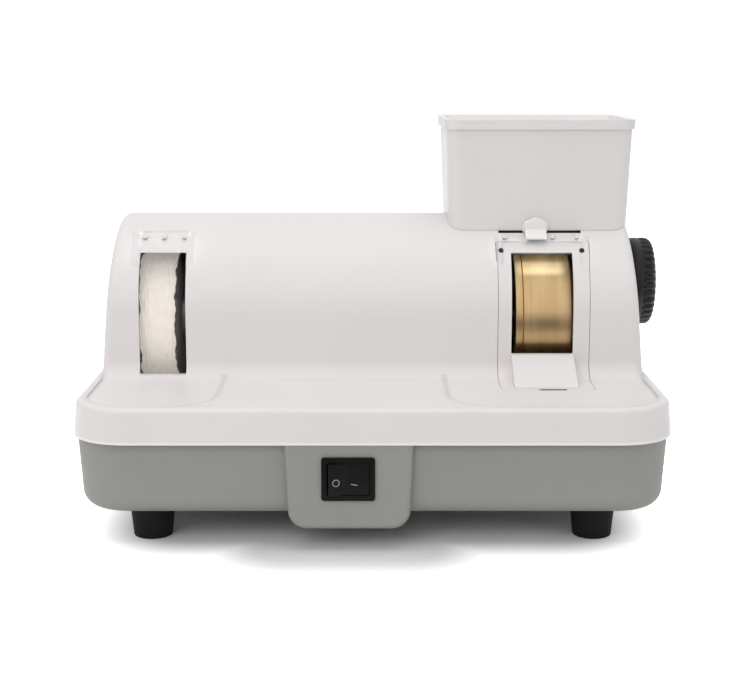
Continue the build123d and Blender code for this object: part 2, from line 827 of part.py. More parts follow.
# Mains inlet in the rear wall
inlet_seat_y = base_rear_face_y
inlet_well_width = inlet_body_width - 2 * inlet_side_wall
inlet_well_height = inlet_body_height - 2 * inlet_end_wall
with BuildPart() as power_inlet:
    with BuildSketch(Plane.XZ.offset(-inlet_seat_y - inlet_flange_thickness)):
        with Locations((inlet_x, inlet_z)):
            RectangleRounded(inlet_flange_width, inlet_flange_height, bezel_corner)
    extrude(amount=inlet_flange_thickness)
    with BuildSketch(Plane.XZ.offset(-inlet_seat_y)):
        with Locations((inlet_x, inlet_z)):
            Rectangle(inlet_body_width, inlet_body_height)
    extrude(amount=inlet_body_depth)
    with BuildSketch(Plane.XZ.offset(-inlet_seat_y - inlet_flange_thickness)) as inlet_well:
        with Locations((inlet_x, inlet_z)):
            Rectangle(inlet_well_width, inlet_well_height)
        chamfer(inlet_well.vertices().group_by(Axis.Y)[-1], inlet_well_corner)
    extrude(amount=inlet_flange_thickness + inlet_well_depth, mode=Mode.SUBTRACT)
power_inlet.part.label = "power_inlet"
export_step(power_inlet.part, "parts/power_inlet.step")

with BuildPart() as inlet_pins:
    with BuildSketch(Plane.XZ.offset(-inlet_seat_y)):
        with Locations(
            (inlet_x - inlet_pin_spacing / 2, inlet_z - inlet_earth_rise / 2),
            (inlet_x, inlet_z + inlet_earth_rise),
            (inlet_x + inlet_pin_spacing / 2, inlet_z - inlet_earth_rise / 2),
        ):
            Rectangle(inlet_pin_thickness, inlet_pin_width)
    extrude(amount=inlet_well_depth)
inlet_pins.part.label = "inlet_pins"
export_step(inlet_pins.part, "parts/inlet_pins.step")


# Motor: a rolled case between two end bells, on a folded sheet cradle
case_left_x = left_partition_x + partition_thickness / 2 + motor_left_gap + end_bell_thickness
case_right_x = right_partition_x - partition_thickness / 2 - motor_right_gap - end_bell_thickness
motor_case_length = case_right_x - case_left_x
motor_x = (case_left_x + case_right_x) / 2
spindle_offset = hypot(spindle_forward, spindle_drop)
cavity_radius = barrel_radius - housing_wall
motor_radius = cavity_radius - spindle_offset - motor_wall_gap - strap_thickness - seat_gap
stator_length = motor_case_length - 2 * (winding_length + winding_end_gap)
stator_radius = motor_radius - motor_case_wall - seat_gap
stator_inner_radius = stator_radius - stator_depth
rotor_radius = stator_inner_radius - rotor_gap

with BuildPart() as motor_case:
    with BuildSketch(Plane.YZ.offset(case_left_x)):
        with Locations((spindle_y, spindle_z)):
            Circle(motor_radius)
            Circle(motor_radius - motor_case_wall, mode=Mode.SUBTRACT)
    extrude(amount=motor_case_length)
motor_case.part.label = "motor_case"
export_step(motor_case.part, "parts/motor_case.step")

for bell_name, bell_x, bell_way in (
    ("left_end_bell", case_left_x, -1),
    ("right_end_bell", case_right_x, 1),
):
    with BuildPart() as end_bell:
        with BuildSketch(Plane.YZ.offset(bell_x)):
            with Locations((spindle_y, spindle_z)):
                Circle(motor_radius)
        extrude(amount=bell_way * end_bell_thickness)
        outer_face = end_bell.faces().sort_by(Axis.X)[-1 if bell_way > 0 else 0]
        fillet(outer_face.edges(), end_bell_thickness / 3)
        with BuildSketch(Plane.YZ.offset(bell_x)):
            with Locations((spindle_y, spindle_z)):
                with PolarLocations((bearing_outer_radius + motor_radius) / 2, end_bell_spoke_holes):
                    Circle(end_bell_hole_radius)
        extrude(amount=bell_way * end_bell_thickness, mode=Mode.SUBTRACT)
        with BuildSketch(Plane.YZ.offset(bell_x)):
            with Locations((spindle_y, spindle_z)):
                Circle(bearing_outer_radius + seat_gap)
        extrude(amount=bell_way * (bearing_width + seat_gap), mode=Mode.SUBTRACT)
        with BuildSketch(Plane.YZ.offset(bell_x)):
            with Locations((spindle_y, spindle_z)):
                Circle(shaft_radius + bearing_race)
        extrude(amount=bell_way * end_bell_thickness, mode=Mode.SUBTRACT)
    end_bell.part.label = bell_name
    export_step(end_bell.part, f"parts/{bell_name}.step")

for bearing_name, bearing_x, bearing_way in (
    ("left_bearing", case_left_x, -1),
    ("right_bearing", case_right_x, 1),
):
    with BuildPart() as bearing:
        with BuildSketch(Plane.YZ.offset(bearing_x)):
            with Locations((spindle_y, spindle_z)):
                Circle(bearing_outer_radius)
                Circle(shaft_radius + running_gap, mode=Mode.SUBTRACT)
        extrude(amount=bearing_way * bearing_width)
        for shield_x, shield_way in (
            (bearing_x, bearing_way),
            (bearing_x + bearing_way * bearing_width, -bearing_way),
        ):
            with BuildSketch(Plane.YZ.offset(shield_x)):
                with Locations((spindle_y, spindle_z)):
                    Circle(bearing_outer_radius - bearing_race)
                    Circle(shaft_radius + bearing_race, mode=Mode.SUBTRACT)
            extrude(amount=shield_way * bearing_race / 4, mode=Mode.SUBTRACT)
    bearing.part.label = bearing_name
    export_step(bearing.part, f"parts/{bearing_name}.step")

with BuildPart() as stator_core:
    with BuildSketch(Plane.YZ.offset(motor_x)):
        with Locations((spindle_y, spindle_z)):
            Circle(stator_radius)
            Circle(stator_inner_radius, mode=Mode.SUBTRACT)
    extrude(amount=stator_length / 2, both=True)
stator_core.part.label = "stator_core"
export_step(stator_core.part, "parts/stator_core.step")

with BuildPart() as stator_windings:
    for winding_x, winding_way in (
        (motor_x - stator_length / 2, -1),
        (motor_x + stator_length / 2, 1),
    ):
        with BuildSketch(Plane.YZ.offset(winding_x)):
            with Locations((spindle_y, spindle_z)):
                Circle(motor_radius - motor_case_wall - winding_case_gap)
                Circle(stator_inner_radius + winding_inset, mode=Mode.SUBTRACT)
        extrude(amount=winding_way * winding_length)
stator_windings.part.label = "stator_windings"
export_step(stator_windings.part, "parts/stator_windings.step")

cradle_length = motor_case_length - 2 * cradle_end_inset
cradle_top_half = motor_radius - cradle_top_inset
cradle_foot_half = motor_radius + cradle_foot_spread
cradle_top_z = spindle_z - sqrt(motor_radius ** 2 - cradle_top_half ** 2) + cradle_rise / 4
with BuildPart() as motor_cradle:
    with BuildSketch(Plane.YZ.offset(motor_x)):
        with BuildLine():
            Polyline(
                (spindle_y - cradle_foot_half, base_floor_z),
                (spindle_y + cradle_foot_half, base_floor_z),
                (spindle_y + cradle_top_half + cradle_sheet, cradle_top_z),
                (spindle_y - cradle_top_half - cradle_sheet, cradle_top_z),
                close=True,
            )
        make_face()
        with BuildLine():
            Polyline(
                (spindle_y - cradle_foot_half + cradle_sheet, base_floor_z + cradle_sheet),
                (spindle_y + cradle_foot_half - cradle_sheet, base_floor_z + cradle_sheet),
                (spindle_y + cradle_top_half - cradle_sheet, cradle_top_z - cradle_rise),
                (spindle_y - cradle_top_half + cradle_sheet, cradle_top_z - cradle_rise),
                close=True,
            )
        make_face(mode=Mode.SUBTRACT)
        with Locations((spindle_y, spindle_z)):
            Circle(motor_radius + seat_gap, mode=Mode.SUBTRACT)
    extrude(amount=cradle_length / 2, both=True)
motor_cradle.part.label = "motor_cradle"
export_step(motor_cradle.part, "parts/motor_cradle.step")

strap_outer = motor_radius + seat_gap + strap_thickness
with BuildPart() as motor_straps:
    for strap_side in (-1, 1):
        strap_x = motor_x + strap_side * (cradle_length - strap_width) / 2
        with BuildSketch(Plane.YZ.offset(strap_x)):
            with Locations((spindle_y, spindle_z)):
                Circle(strap_outer)
                Circle(motor_radius + seat_gap, mode=Mode.SUBTRACT)
            with Locations((spindle_y, cradle_top_z - motor_radius)):
                Rectangle(4 * motor_radius, 2 * motor_radius, mode=Mode.SUBTRACT)
            for ear_side in (-1, 1):
                ear_y = spindle_y + ear_side * (cradle_top_half + cradle_sheet + strap_ear / 4)
                with Locations((ear_y, cradle_top_z + strap_thickness / 2)):
                    Rectangle(strap_ear, strap_thickness)
            with Locations((spindle_y, spindle_z)):
                Circle(motor_radius + seat_gap, mode=Mode.SUBTRACT)
        extrude(amount=strap_width / 2, both=True)
motor_straps.part.label = "motor_straps"
export_step(motor_straps.part, "parts/motor_straps.step")

# Run capacitor, lying on the base floor in a sheet clip
clip_radius = capacitor_radius + capacitor_clip_thickness
capacitor_x = polish_x + capacitor_shift
capacitor_place_y = spindle_y - cradle_foot_half - capacitor_gap - clip_radius
capacitor_centre_z = base_floor_z + clip_radius
with BuildPart() as run_capacitor:
    with BuildSketch(Plane.YZ.offset(capacitor_x)):
        with Locations((capacitor_place_y, capacitor_centre_z)):
            Circle(capacitor_radius - seat_gap)
    extrude(amount=capacitor_length)
    fillet(run_capacitor.edges(), capacitor_radius / 8)
run_capacitor.part.label = "run_capacitor"
export_step(run_capacitor.part, "parts/run_capacitor.step")

with BuildPart() as capacitor_clip:
    with BuildSketch(Plane.YZ.offset(capacitor_x + capacitor_length / 2)):
        with Locations((capacitor_place_y, capacitor_centre_z)):
            Circle(clip_radius)
            Circle(capacitor_radius, mode=Mode.SUBTRACT)
        with Locations((capacitor_place_y, capacitor_centre_z + capacitor_radius)):
            Rectangle(capacitor_radius, capacitor_radius, mode=Mode.SUBTRACT)
    extrude(amount=capacitor_clip_width / 2, both=True)
capacitor_clip.part.label = "capacitor_clip"
export_step(capacitor_clip.part, "parts/capacitor_clip.step")


# Spindle: a stepped shaft with the rotor in the middle and a wheel at each end
hub_left_x = wheel_x - core_hub_width / 2
grinding_nut_x = hub_left_x + core_hub_width + flange_thickness
polishing_nut_x = buff_x - buff_width / 2 - polish_flange_thickness
shaft_left_x = polishing_nut_x - nut_height - shaft_stub
shaft_right_x = grinding_nut_x + nut_height + shaft_stub
with BuildPart() as shaft:
    with BuildSketch(Plane.YZ.offset(shaft_left_x)):
        with Locations((spindle_y, spindle_z)):
            Circle(shaft_radius)
    extrude(amount=shaft_right_x - shaft_left_x)
    chamfer(shaft.edges(), shaft_chamfer)
    with BuildSketch(Plane.YZ.offset(motor_x)):
        with Locations((spindle_y, spindle_z)):
            Circle(shaft_middle_radius)
    extrude(amount=motor_case_length / 2 - seat_gap, both=True)
shaft.part.label = "shaft"
export_step(shaft.part, "parts/shaft.step")

with BuildPart() as rotor:
    with BuildSketch(Plane.YZ.offset(motor_x)):
        with Locations((spindle_y, spindle_z)):
            Circle(rotor_radius)
            Circle(shaft_middle_radius + seat_gap, mode=Mode.SUBTRACT)
    extrude(amount=stator_length / 2, both=True)
rotor.part.label = "rotor"
export_step(rotor.part, "parts/rotor.step")

wheel_axis = Axis((wheel_x, spindle_y, spindle_z), (1, 0, 0))
rim_inner_radius = wheel_radius - rim_thickness
groove_x = wheel_left_x + groove_inset
wheel_right_x = wheel_left_x + wheel_width
with BuildPart() as diamond_rim:
    with BuildSketch(Plane.XZ.offset(-spindle_y)):
        with BuildLine():
            Polyline(
                (wheel_left_x, spindle_z + rim_inner_radius),
                (wheel_left_x, spindle_z + wheel_radius - rim_chamfer / 2),
                (wheel_left_x + rim_chamfer / 2, spindle_z + wheel_radius),
                (groove_x - groove_width / 2, spindle_z + wheel_radius),
                (groove_x, spindle_z + wheel_radius - groove_depth),
                (groove_x + groove_width / 2, spindle_z + wheel_radius),
                (wheel_right_x - rim_chamfer, spindle_z + wheel_radius),
                (wheel_right_x, spindle_z + wheel_radius - rim_chamfer),
                (wheel_right_x, spindle_z + rim_inner_radius),
                close=True,
            )
        make_face()
    revolve(axis=wheel_axis)
diamond_rim.part.label = "diamond_rim"
export_step(diamond_rim.part, "parts/diamond_rim.step")

with BuildPart() as wheel_core:
    with BuildSketch(Plane.XZ.offset(-spindle_y)):
        with BuildLine():
            Polyline(
                (hub_left_x, spindle_z + shaft_radius + seat_gap),
                (hub_left_x, spindle_z + core_hub_radius),
                (wheel_x - core_web / 2, spindle_z + core_hub_radius),
                (wheel_x - core_web / 2, spindle_z + rim_inner_radius - seat_gap),
                (wheel_x + core_web / 2, spindle_z + rim_inner_radius - seat_gap),
                (wheel_x + core_web / 2, spindle_z + core_hub_radius),
                (hub_left_x + core_hub_width, spindle_z + core_hub_radius),
                (hub_left_x + core_hub_width, spindle_z + shaft_radius + seat_gap),
                close=True,
            )
        make_face()
    revolve(axis=wheel_axis)
wheel_core.part.label = "wheel_core"
export_step(wheel_core.part, "parts/wheel_core.step")


def flange_pair(left_x, right_x, radius, thickness):
    """Two clamping washers, one against each side of a wheel."""
    for face_x, way in ((left_x, -1), (right_x, 1)):
        with BuildSketch(Plane.YZ.offset(face_x)) as washer:
            with Locations((spindle_y, spindle_z)):
                Circle(radius)
                Circle(shaft_radius + seat_gap, mode=Mode.SUBTRACT)
        extrude(washer.sketch, amount=way * thickness)


def hex_nut(face_x, way):
    """Hexagon nut on the shaft, standing out from a face."""
    with BuildSketch(Plane.YZ.offset(face_x)) as hexagon:
        with Locations((spindle_y, spindle_z)):
            RegularPolygon(nut_flat_radius, 6, major_radius=False)
            Circle(shaft_radius + seat_gap, mode=Mode.SUBTRACT)
    extrude(hexagon.sketch, amount=way * nut_height)


with BuildPart() as grinding_flanges:
    flange_pair(hub_left_x, hub_left_x + core_hub_width, flange_radius, flange_thickness)
grinding_flanges.part.label = "grinding_flanges"
export_step(grinding_flanges.part, "parts/grinding_flanges.step")

with BuildPart() as grinding_nut:
    hex_nut(grinding_nut_x, 1)
grinding_nut.part.label = "grinding_nut"
export_step(grinding_nut.part, "parts/grinding_nut.step")

# Cloth wheel: stitched plies that part and crown at the rim
buff_axis = Axis((buff_x, spindle_y, spindle_z), (1, 0, 0))
ply_width = buff_width / buff_plies
with BuildPart() as buffing_wheel:
    with BuildSketch(Plane.XZ.offset(-spindle_y)):
        with BuildLine():
            rim_points = [(buff_x - buff_width / 2, spindle_z + shaft_radius + seat_gap)]
            for ply in range(buff_plies):
                ply_left = buff_x - buff_width / 2 + ply * ply_width
                from_middle = abs(2 * ply + 1 - buff_plies) / (buff_plies - 1)
                ply_top = spindle_z + buff_radius - buff_crown * from_middle ** 2
                valley_z = spindle_z + buff_radius - buff_ply_depth
                rim_points.append((ply_left, valley_z))
                rim_points.append((ply_left + buff_ply_gap, ply_top))
                rim_points.append((ply_left + ply_width - buff_ply_gap, ply_top))
            rim_points.append((buff_x + buff_width / 2, valley_z))
            rim_points.append((buff_x + buff_width / 2, spindle_z + shaft_radius + seat_gap))
            Polyline(*rim_points, close=True)
        make_face()
    revolve(axis=buff_axis)
buffing_wheel.part.label = "buffing_wheel"
export_step(buffing_wheel.part, "parts/buffing_wheel.step")

buff_left_x = buff_x - buff_width / 2
with BuildPart() as polishing_flanges:
    flange_pair(buff_left_x, buff_left_x + buff_width, polish_flange_radius, polish_flange_thickness)
polishing_flanges.part.label = "polishing_flanges"
export_step(polishing_flanges.part, "parts/polishing_flanges.step")

with BuildPart() as polishing_nut:
    hex_nut(polishing_nut_x, -1)
polishing_nut.part.label = "polishing_nut"
export_step(polishing_nut.part, "parts/polishing_nut.step")


# Insert plate: a bent plate with the grinding window and a ramp below it
ramp_top_y = barrel_front_y - block_top_depth
ramp_foot_y = insert_front_y + block_toe_gap
ramp_seat = insert_thickness / 2
grind_low_z = shelf_z + grind_sill
window_width = wheel_width + 2 * window_side_gap
with BuildPart() as wheel_insert:
    with BuildSketch(Plane.YZ.offset(insert_x)):
        with BuildLine():
            skin_outline(0, insert_thickness, insert_front_y, insert_top_deg)
        make_face()
    extrude(amount=insert_width / 2, both=True)
    insert_corners = wheel_insert.edges().filter_by(Axis.Z).group_by(Axis.Y)[0]
    fillet(insert_corners, insert_corner)
    with BuildSketch(Plane.XZ.offset(-barrel_y)):
        with Locations((grind_x, (grind_low_z + window_high_z) / 2)):
            RectangleRounded(window_width, window_high_z - grind_low_z, window_corner)
    extrude(amount=barrel_radius + 2 * cove_radius, mode=Mode.SUBTRACT)
    with BuildSketch(Plane.YZ.offset(grind_x)):
        with BuildLine():
            Polyline(
                (barrel_front_y + ramp_seat, tray_floor_z + cove_radius),
                (barrel_front_y + ramp_seat, grind_low_z),
                (ramp_top_y, grind_low_z),
                (ramp_foot_y, tray_floor_z + block_toe),
                (ramp_foot_y, tray_floor_z - ramp_seat),
                (barrel_front_y - cove_radius, tray_floor_z - ramp_seat),
            )
            cove_centre = (barrel_front_y - cove_radius, tray_floor_z + cove_radius)
            CenterArc(cove_centre, cove_radius + ramp_seat, -90, 90)
        make_face()
    extrude(amount=window_width / 2, both=True)
    with BuildSketch(Plane.XY.offset(tray_floor_z + overrun)):
        with Locations((finger_slot_x, insert_front_y)):
            Rectangle(finger_slot_width, 2 * (finger_slot_depth - insert_gap))
    extrude(amount=-2 * overrun, mode=Mode.SUBTRACT)
    with BuildSketch(barrel_plane(grind_x, insert_screw_deg, overrun)):
        with GridLocations(insert_screw_spacing, insert_screw_spacing, 2, 1):
            Circle(m2_radius + screw_fit)
    extrude(amount=-2 * overrun, mode=Mode.SUBTRACT)
wheel_insert.part.label = "wheel_insert"
export_step(wheel_insert.part, "parts/wheel_insert.step")


def screw_row(station_x, rise_deg, seat_height, count, spacing, head_radius, head_height):
    """Row of flat-topped screws square to the barrel's skin."""
    for radius, rise in ((head_radius, head_height), (m2_radius, -m2_length)):
        with BuildSketch(barrel_plane(station_x, rise_deg, seat_height)) as row:
            with GridLocations(spacing, spacing, count, 1):
                Circle(radius)
        extrude(row.sketch, amount=rise)


with BuildPart() as insert_screws:
    screw_row(
        grind_x,
        insert_screw_deg,
        0,
        2,
        insert_screw_spacing,
        m2_head_radius,
        m2_head_height,
    )
insert_screws.part.label = "insert_screws"
export_step(insert_screws.part, "parts/insert_screws.step")


# Clear guards: a strip screwed on above each window, with a wing down each side
guard_top = guard_seat_gap + guard_thickness
barrel_axis = Axis((housing_x, barrel_y, barrel_z), (1, 0, 0))


def guard_shape(station_x, width, high_deg, low_deg, wing_low_deg, count, spacing):
    """Strip with two splayed wings, and a row of screw holes."""
    with BuildSketch(Plane.YZ.offset(station_x)) as strip:
        with BuildLine():
            for height in (guard_seat_gap, guard_top):
                skin_radius = barrel_radius + height
                CenterArc((barrel_y, barrel_z), skin_radius, 180 - high_deg, high_deg - low_deg)
            for end_deg in (low_deg, high_deg):
                Line(barrel_point(end_deg, guard_seat_gap), barrel_point(end_deg, guard_top))
        make_face()
    extrude(strip.sketch, amount=width / 2, both=True)
    wing_top_deg = high_deg - wing_drop_deg
    wing_top = radians(wing_top_deg)
    for side in (-1, 1):
        wing_plane = Plane(
            origin=(station_x + side * width / 2, barrel_y, barrel_z),
            x_dir=(side, 0, 0),
            z_dir=(0, -side * sin(wing_top), -side * cos(wing_top)),
        )
        with BuildSketch(wing_plane) as wing:
            with BuildLine():
                Polyline(
                    (-wing_root, barrel_radius + wing_lift),
                    (0, barrel_radius + wing_lift),
                    (wing_splay, barrel_radius + wing_height),
                    (wing_splay - guard_thickness, barrel_radius + wing_height),
                    close=True,
                )
            make_face()
        revolve(wing.sketch, axis=barrel_axis, revolution_arc=wing_top_deg - wing_low_deg)
    with BuildSketch(barrel_plane(station_x, guard_screw_deg, overrun)) as holes:
        with GridLocations(spacing, spacing, count, 1):
            Circle(m2_radius + screw_fit)
    extrude(holes.sketch, amount=-2 * overrun, mode=Mode.SUBTRACT)


with BuildPart() as grinding_guard:
    guard_shape(
        grind_x,
        grind_guard_width,
        grind_guard_high_deg,
        grind_guard_low_deg,
        grind_wing_low_deg,
        grind_guard_screws,
        grind_guard_spacing,
    )
grinding_guard.part.label = "grinding_guard"
export_step(grinding_guard.part, "parts/grinding_guard.step")

with BuildPart() as polishing_guard:
    guard_shape(
        polish_x,
        polish_guard_width,
        polish_guard_high_deg,
        polish_guard_low_deg,
        polish_wing_low_deg,
        polish_guard_screws,
        polish_guard_spacing,
    )
polishing_guard.part.label = "polishing_guard"
export_step(polishing_guard.part, "parts/polishing_guard.step")

for screws_name, station_x, count, spacing in (
    ("grinding_guard_screws", grind_x, grind_guard_screws, grind_guard_spacing),
    ("polishing_guard_screws", polish_x, polish_guard_screws, polish_guard_spacing),
):
    with BuildPart() as guard_screws:
        screw_row(
            station_x,
            guard_screw_deg,
            guard_top,
            count,
            spacing,
            guard_head_radius,
            guard_head_height,
        )
    guard_screws.part.label = screws_name
    export_step(guard_screws.part, f"parts/{screws_name}.step")


# Sponge holder: a blade through the slot, with a house-shaped finger tab outside
# and a lip that lies over the guard's strip
slot_y, slot_z = barrel_point(slot_deg, 0)
blade_plane = Plane(
    origin=(grind_x, slot_y, slot_z),
    x_dir=(1, 0, 0),
    z_dir=(0, -sin(radians(slot_deg)), -cos(radians(slot_deg))),
)
neck_half = holder_neck_width / 2
lip_height = guard_top + holder_lip_gap
holder_inner_width = slot_width - 2 * holder_slot_gap
with BuildPart() as sponge_holder:
    with BuildSketch(blade_plane) as holder_blade:
        with BuildLine():
            Polyline(
                (holder_neck_shift - neck_half, -holder_shoulder),
                (holder_neck_shift - neck_half, 0),
                (holder_neck_shift - holder_tab_width / 2, lip_height),
                (holder_neck_shift - holder_tab_top_width / 2, holder_tab_shoulder),
                (holder_neck_shift, holder_tab_reach),
                (holder_neck_shift + holder_tab_top_width / 2, holder_tab_shoulder),
                (holder_neck_shift + holder_tab_width / 2, lip_height),
                (holder_neck_shift + neck_half, 0),
                (holder_neck_shift + neck_half, -holder_shoulder),
                (holder_inner_width / 2, -holder_shoulder),
                (holder_inner_width / 2, -holder_inner_reach),
                (-holder_inner_width / 2, -holder_inner_reach),
                (-holder_inner_width / 2, -holder_shoulder),
                close=True,
            )
        make_face()
        fillet(holder_blade.vertices().sort_by(Axis.Y)[-3:], holder_tab_round)
    extrude(amount=holder_thickness / 2, both=True)
    with BuildSketch(blade_plane):
        with Locations((holder_neck_shift, lip_height + holder_lip_thickness / 2)):
            Rectangle(holder_lip_width, holder_lip_thickness)
    extrude(amount=holder_lip_length + holder_thickness / 2)
sponge_holder.part.label = "sponge_holder"
export_step(sponge_holder.part, "parts/sponge_holder.step")

# Felt on the blade's inner edge, which ends a hair above the wheel
wheel_from_slot = (spindle_y - slot_y, spindle_z - slot_z)
inward = (cos(radians(slot_deg)), -sin(radians(slot_deg)))
along = wheel_from_slot[0] * inward[0] + wheel_from_slot[1] * inward[1]
aside = abs(wheel_from_slot[0] * inward[1] - wheel_from_slot[1] * inward[0])
felt_reach = along - sqrt((wheel_radius + felt_wheel_gap) ** 2 - aside ** 2)
felt_thickness = slot_thickness - 2 * felt_slot_gap
with BuildPart() as drip_felt:
    with BuildSketch(blade_plane):
        with Locations((0, -(felt_reach + holder_inner_reach - felt_overlap) / 2)):
            Rectangle(holder_inner_width, felt_reach - holder_inner_reach + felt_overlap)
    extrude(amount=felt_thickness / 2, both=True)
    with BuildSketch(blade_plane):
        with Locations((0, -holder_inner_reach)):
            Rectangle(holder_inner_width + overrun, 2 * felt_overlap)
        with Locations((0, -holder_inner_reach - felt_overlap)):
            Rectangle(holder_inner_width + overrun, 2 * felt_overlap - seat_gap, mode=Mode.SUBTRACT)
    extrude(amount=holder_thickness / 2 + seat_gap / 2, both=True, mode=Mode.SUBTRACT)
    with BuildSketch(Plane.YZ.offset(grind_x)):
        with Locations((spindle_y, spindle_z)):
            Circle(wheel_radius + felt_wheel_gap)
    extrude(amount=holder_inner_width, both=True, mode=Mode.SUBTRACT)
drip_felt.part.label = "drip_felt"
export_step(drip_felt.part, "parts/drip_felt.step")


# Water tank: a drafted tub that straddles the barrel
tank_x = grind_x + tank_shift
tank_y = barrel_y - tank_front_reach + tank_top_depth / 2
tank_top_z = crest_z + tank_top_rise
tank_low_z = barrel_z + tank_low_rise
spout_seat_z = crest_z + tank_seat_gap + tank_wall
spout_low_z = spindle_z + wheel_radius + spout_wheel_gap
spout_high_z = spout_seat_z + spout_collar_height
tank_side_in = (tank_top_z - tank_low_z) * tan(radians(tank_side_draft_deg))
tank_front_in = (tank_top_z - tank_low_z) * tan(radians(tank_front_draft_deg))


def tank_rings(inset, low_z):
    """Sections of the drafted tub, drawn in by an inset, at a low level and the rim."""
    level_share = (tank_top_z - low_z) / (tank_top_z - tank_low_z)
    rings = []
    for level_z, share in ((low_z, level_share), (tank_top_z, 0)):
        with BuildSketch(Plane.XY.offset(level_z)) as ring:
            with Locations((tank_x, tank_y)):
                RectangleRounded(
                    tank_top_width - 2 * inset - 2 * share * tank_side_in,
                    tank_top_depth - 2 * inset - 2 * share * tank_front_in,
                    tank_corner - inset,
                )
        rings.append(ring.sketch.face())
    return rings


with BuildPart() as tank_saddle:
    with BuildSketch(Plane.YZ.offset(tank_x)):
        with Locations((barrel_y, barrel_z)):
            Circle(barrel_radius + tank_seat_gap + tank_wall)
    extrude(amount=tank_top_width / 2, both=True)
    loft(tank_rings(0, tank_low_z), ruled=True, mode=Mode.INTERSECT)

with BuildPart() as water_tank:
    loft(tank_rings(0, tank_low_z), ruled=True)
    with BuildSketch(Plane.XY.offset(tank_top_z)):
        with Locations((tank_x, tank_y)):
            RectangleRounded(
                tank_top_width + 2 * tank_lip,
                tank_top_depth + 2 * tank_lip,
                tank_corner + tank_lip,
            )
    extrude(amount=-tank_lip_height)
    loft(tank_rings(tank_wall, tank_low_z + tank_wall), ruled=True, mode=Mode.SUBTRACT)
    add(tank_saddle.part)
    with BuildSketch(Plane.YZ.offset(tank_x)):
        with BuildLine():
            barrel_outline(barrel_radius + tank_seat_gap, barrel_z - overrun)
        make_face()
    extrude(amount=tank_top_width, both=True, mode=Mode.SUBTRACT)
    with BuildSketch(Plane.XY.offset(barrel_z)):
        with Locations((grind_x, spout_y)):
            Circle(spout_radius + seat_gap)
    extrude(amount=spout_seat_z - barrel_z, mode=Mode.SUBTRACT)
water_tank.part.label = "water_tank"
export_step(water_tank.part, "parts/water_tank.step")

with BuildPart() as drip_spout:
    with BuildSketch(Plane.XY.offset(spout_low_z)):
        with Locations((grind_x, spout_y)):
            Circle(spout_radius)
    extrude(amount=spout_high_z - spout_low_z)
    with BuildSketch(Plane.XY.offset(spout_high_z)):
        with Locations((grind_x, spout_y)):
            Circle(spout_collar_radius)
    extrude(amount=-spout_collar_height)
    with BuildSketch(Plane.XY.offset(spout_low_z)):
        with Locations((grind_x, spout_y)):
            Circle(spout_bore)
    extrude(amount=spout_high_z - spout_low_z, mode=Mode.SUBTRACT)
drip_spout.part.label = "drip_spout"
export_step(drip_spout.part, "parts/drip_spout.step")


# Side cap: a ribbed hand cap whose stem closes the port to the wheel nut
cap_inner_x = housing_x + port_collar_reach + cap_gap
cap_outer_x = housing_x + cap_reach
cap_axis_place = (port_y, port_z)
cap_radius = port_collar_radius + cap_overhang
rib_width = 2 * pi * cap_radius / cap_ribs * cap_rib_share
with BuildPart() as cap_envelope:
    with BuildSketch(Plane.YZ.offset(cap_inner_x)):
        with Locations(cap_axis_place):
            Circle(cap_radius)
    extrude(amount=cap_outer_x - cap_inner_x)
    fillet(cap_envelope.faces().sort_by(Axis.X)[-1].edges(), cap_edge)

with BuildPart() as port_cap:
    with BuildSketch(Plane.YZ.offset(cap_inner_x)):
        with Locations(cap_axis_place):
            Circle(cap_radius - cap_rib_depth)
    extrude(amount=cap_outer_x - cap_inner_x)
    with BuildSketch(Plane.YZ.offset(cap_inner_x)):
        with Locations(cap_axis_place):
            Circle(cap_radius)
    extrude(amount=cap_outer_x - cap_rib_inset - cap_inner_x)
    with BuildSketch(Plane.YZ.offset(cap_outer_x - cap_rib_inset)):
        with Locations(cap_axis_place):
            with PolarLocations(cap_radius - cap_rib_depth, cap_ribs):
                Rectangle(2 * cap_rib_depth, rib_width)
    extrude(amount=cap_rib_inset)
    add(cap_envelope.part, mode=Mode.INTERSECT)
    with BuildSketch(Plane.YZ.offset(cap_outer_x)):
        with Locations(cap_axis_place):
            Circle(cap_radius - cap_rim_width)
    extrude(amount=-cap_dish_depth, taper=cap_dish_slope_deg, mode=Mode.SUBTRACT)
    with BuildSketch(Plane.YZ.offset(cap_inner_x)):
        with Locations(cap_axis_place):
            Circle(port_radius - cap_stem_fit)
            Circle(port_radius - cap_stem_fit - cap_stem_wall, mode=Mode.SUBTRACT)
    extrude(amount=-cap_stem_length)
port_cap.part.label = "port_cap"
export_step(port_cap.part, "parts/port_cap.step")


# Splash partitions between the motor and the two wheels
partition_radius = cavity_radius - partition_gap
partition_low_z = shelf_z - partition_drop
for partition_name, partition_x in (
    ("left_partition", left_partition_x),
    ("right_partition", right_partition_x),
):
    with BuildPart() as partition:
        with BuildSketch(Plane.YZ.offset(partition_x)):
            with BuildLine():
                barrel_outline(partition_radius, partition_low_z)
            make_face()
            with Locations((spindle_y, spindle_z)):
                Circle(shaft_radius + partition_hole_gap, mode=Mode.SUBTRACT)
        extrude(amount=partition_thickness / 2, both=True)
    partition.part.label = partition_name
    export_step(partition.part, f"parts/{partition_name}.step")


# Pans that stand on the base floor under the wheels
pan_front_y = spindle_y - pan_front_reach
pan_rear_y = spindle_y + pan_rear_reach
pan_high_z = shelf_z - pan_rim_drop


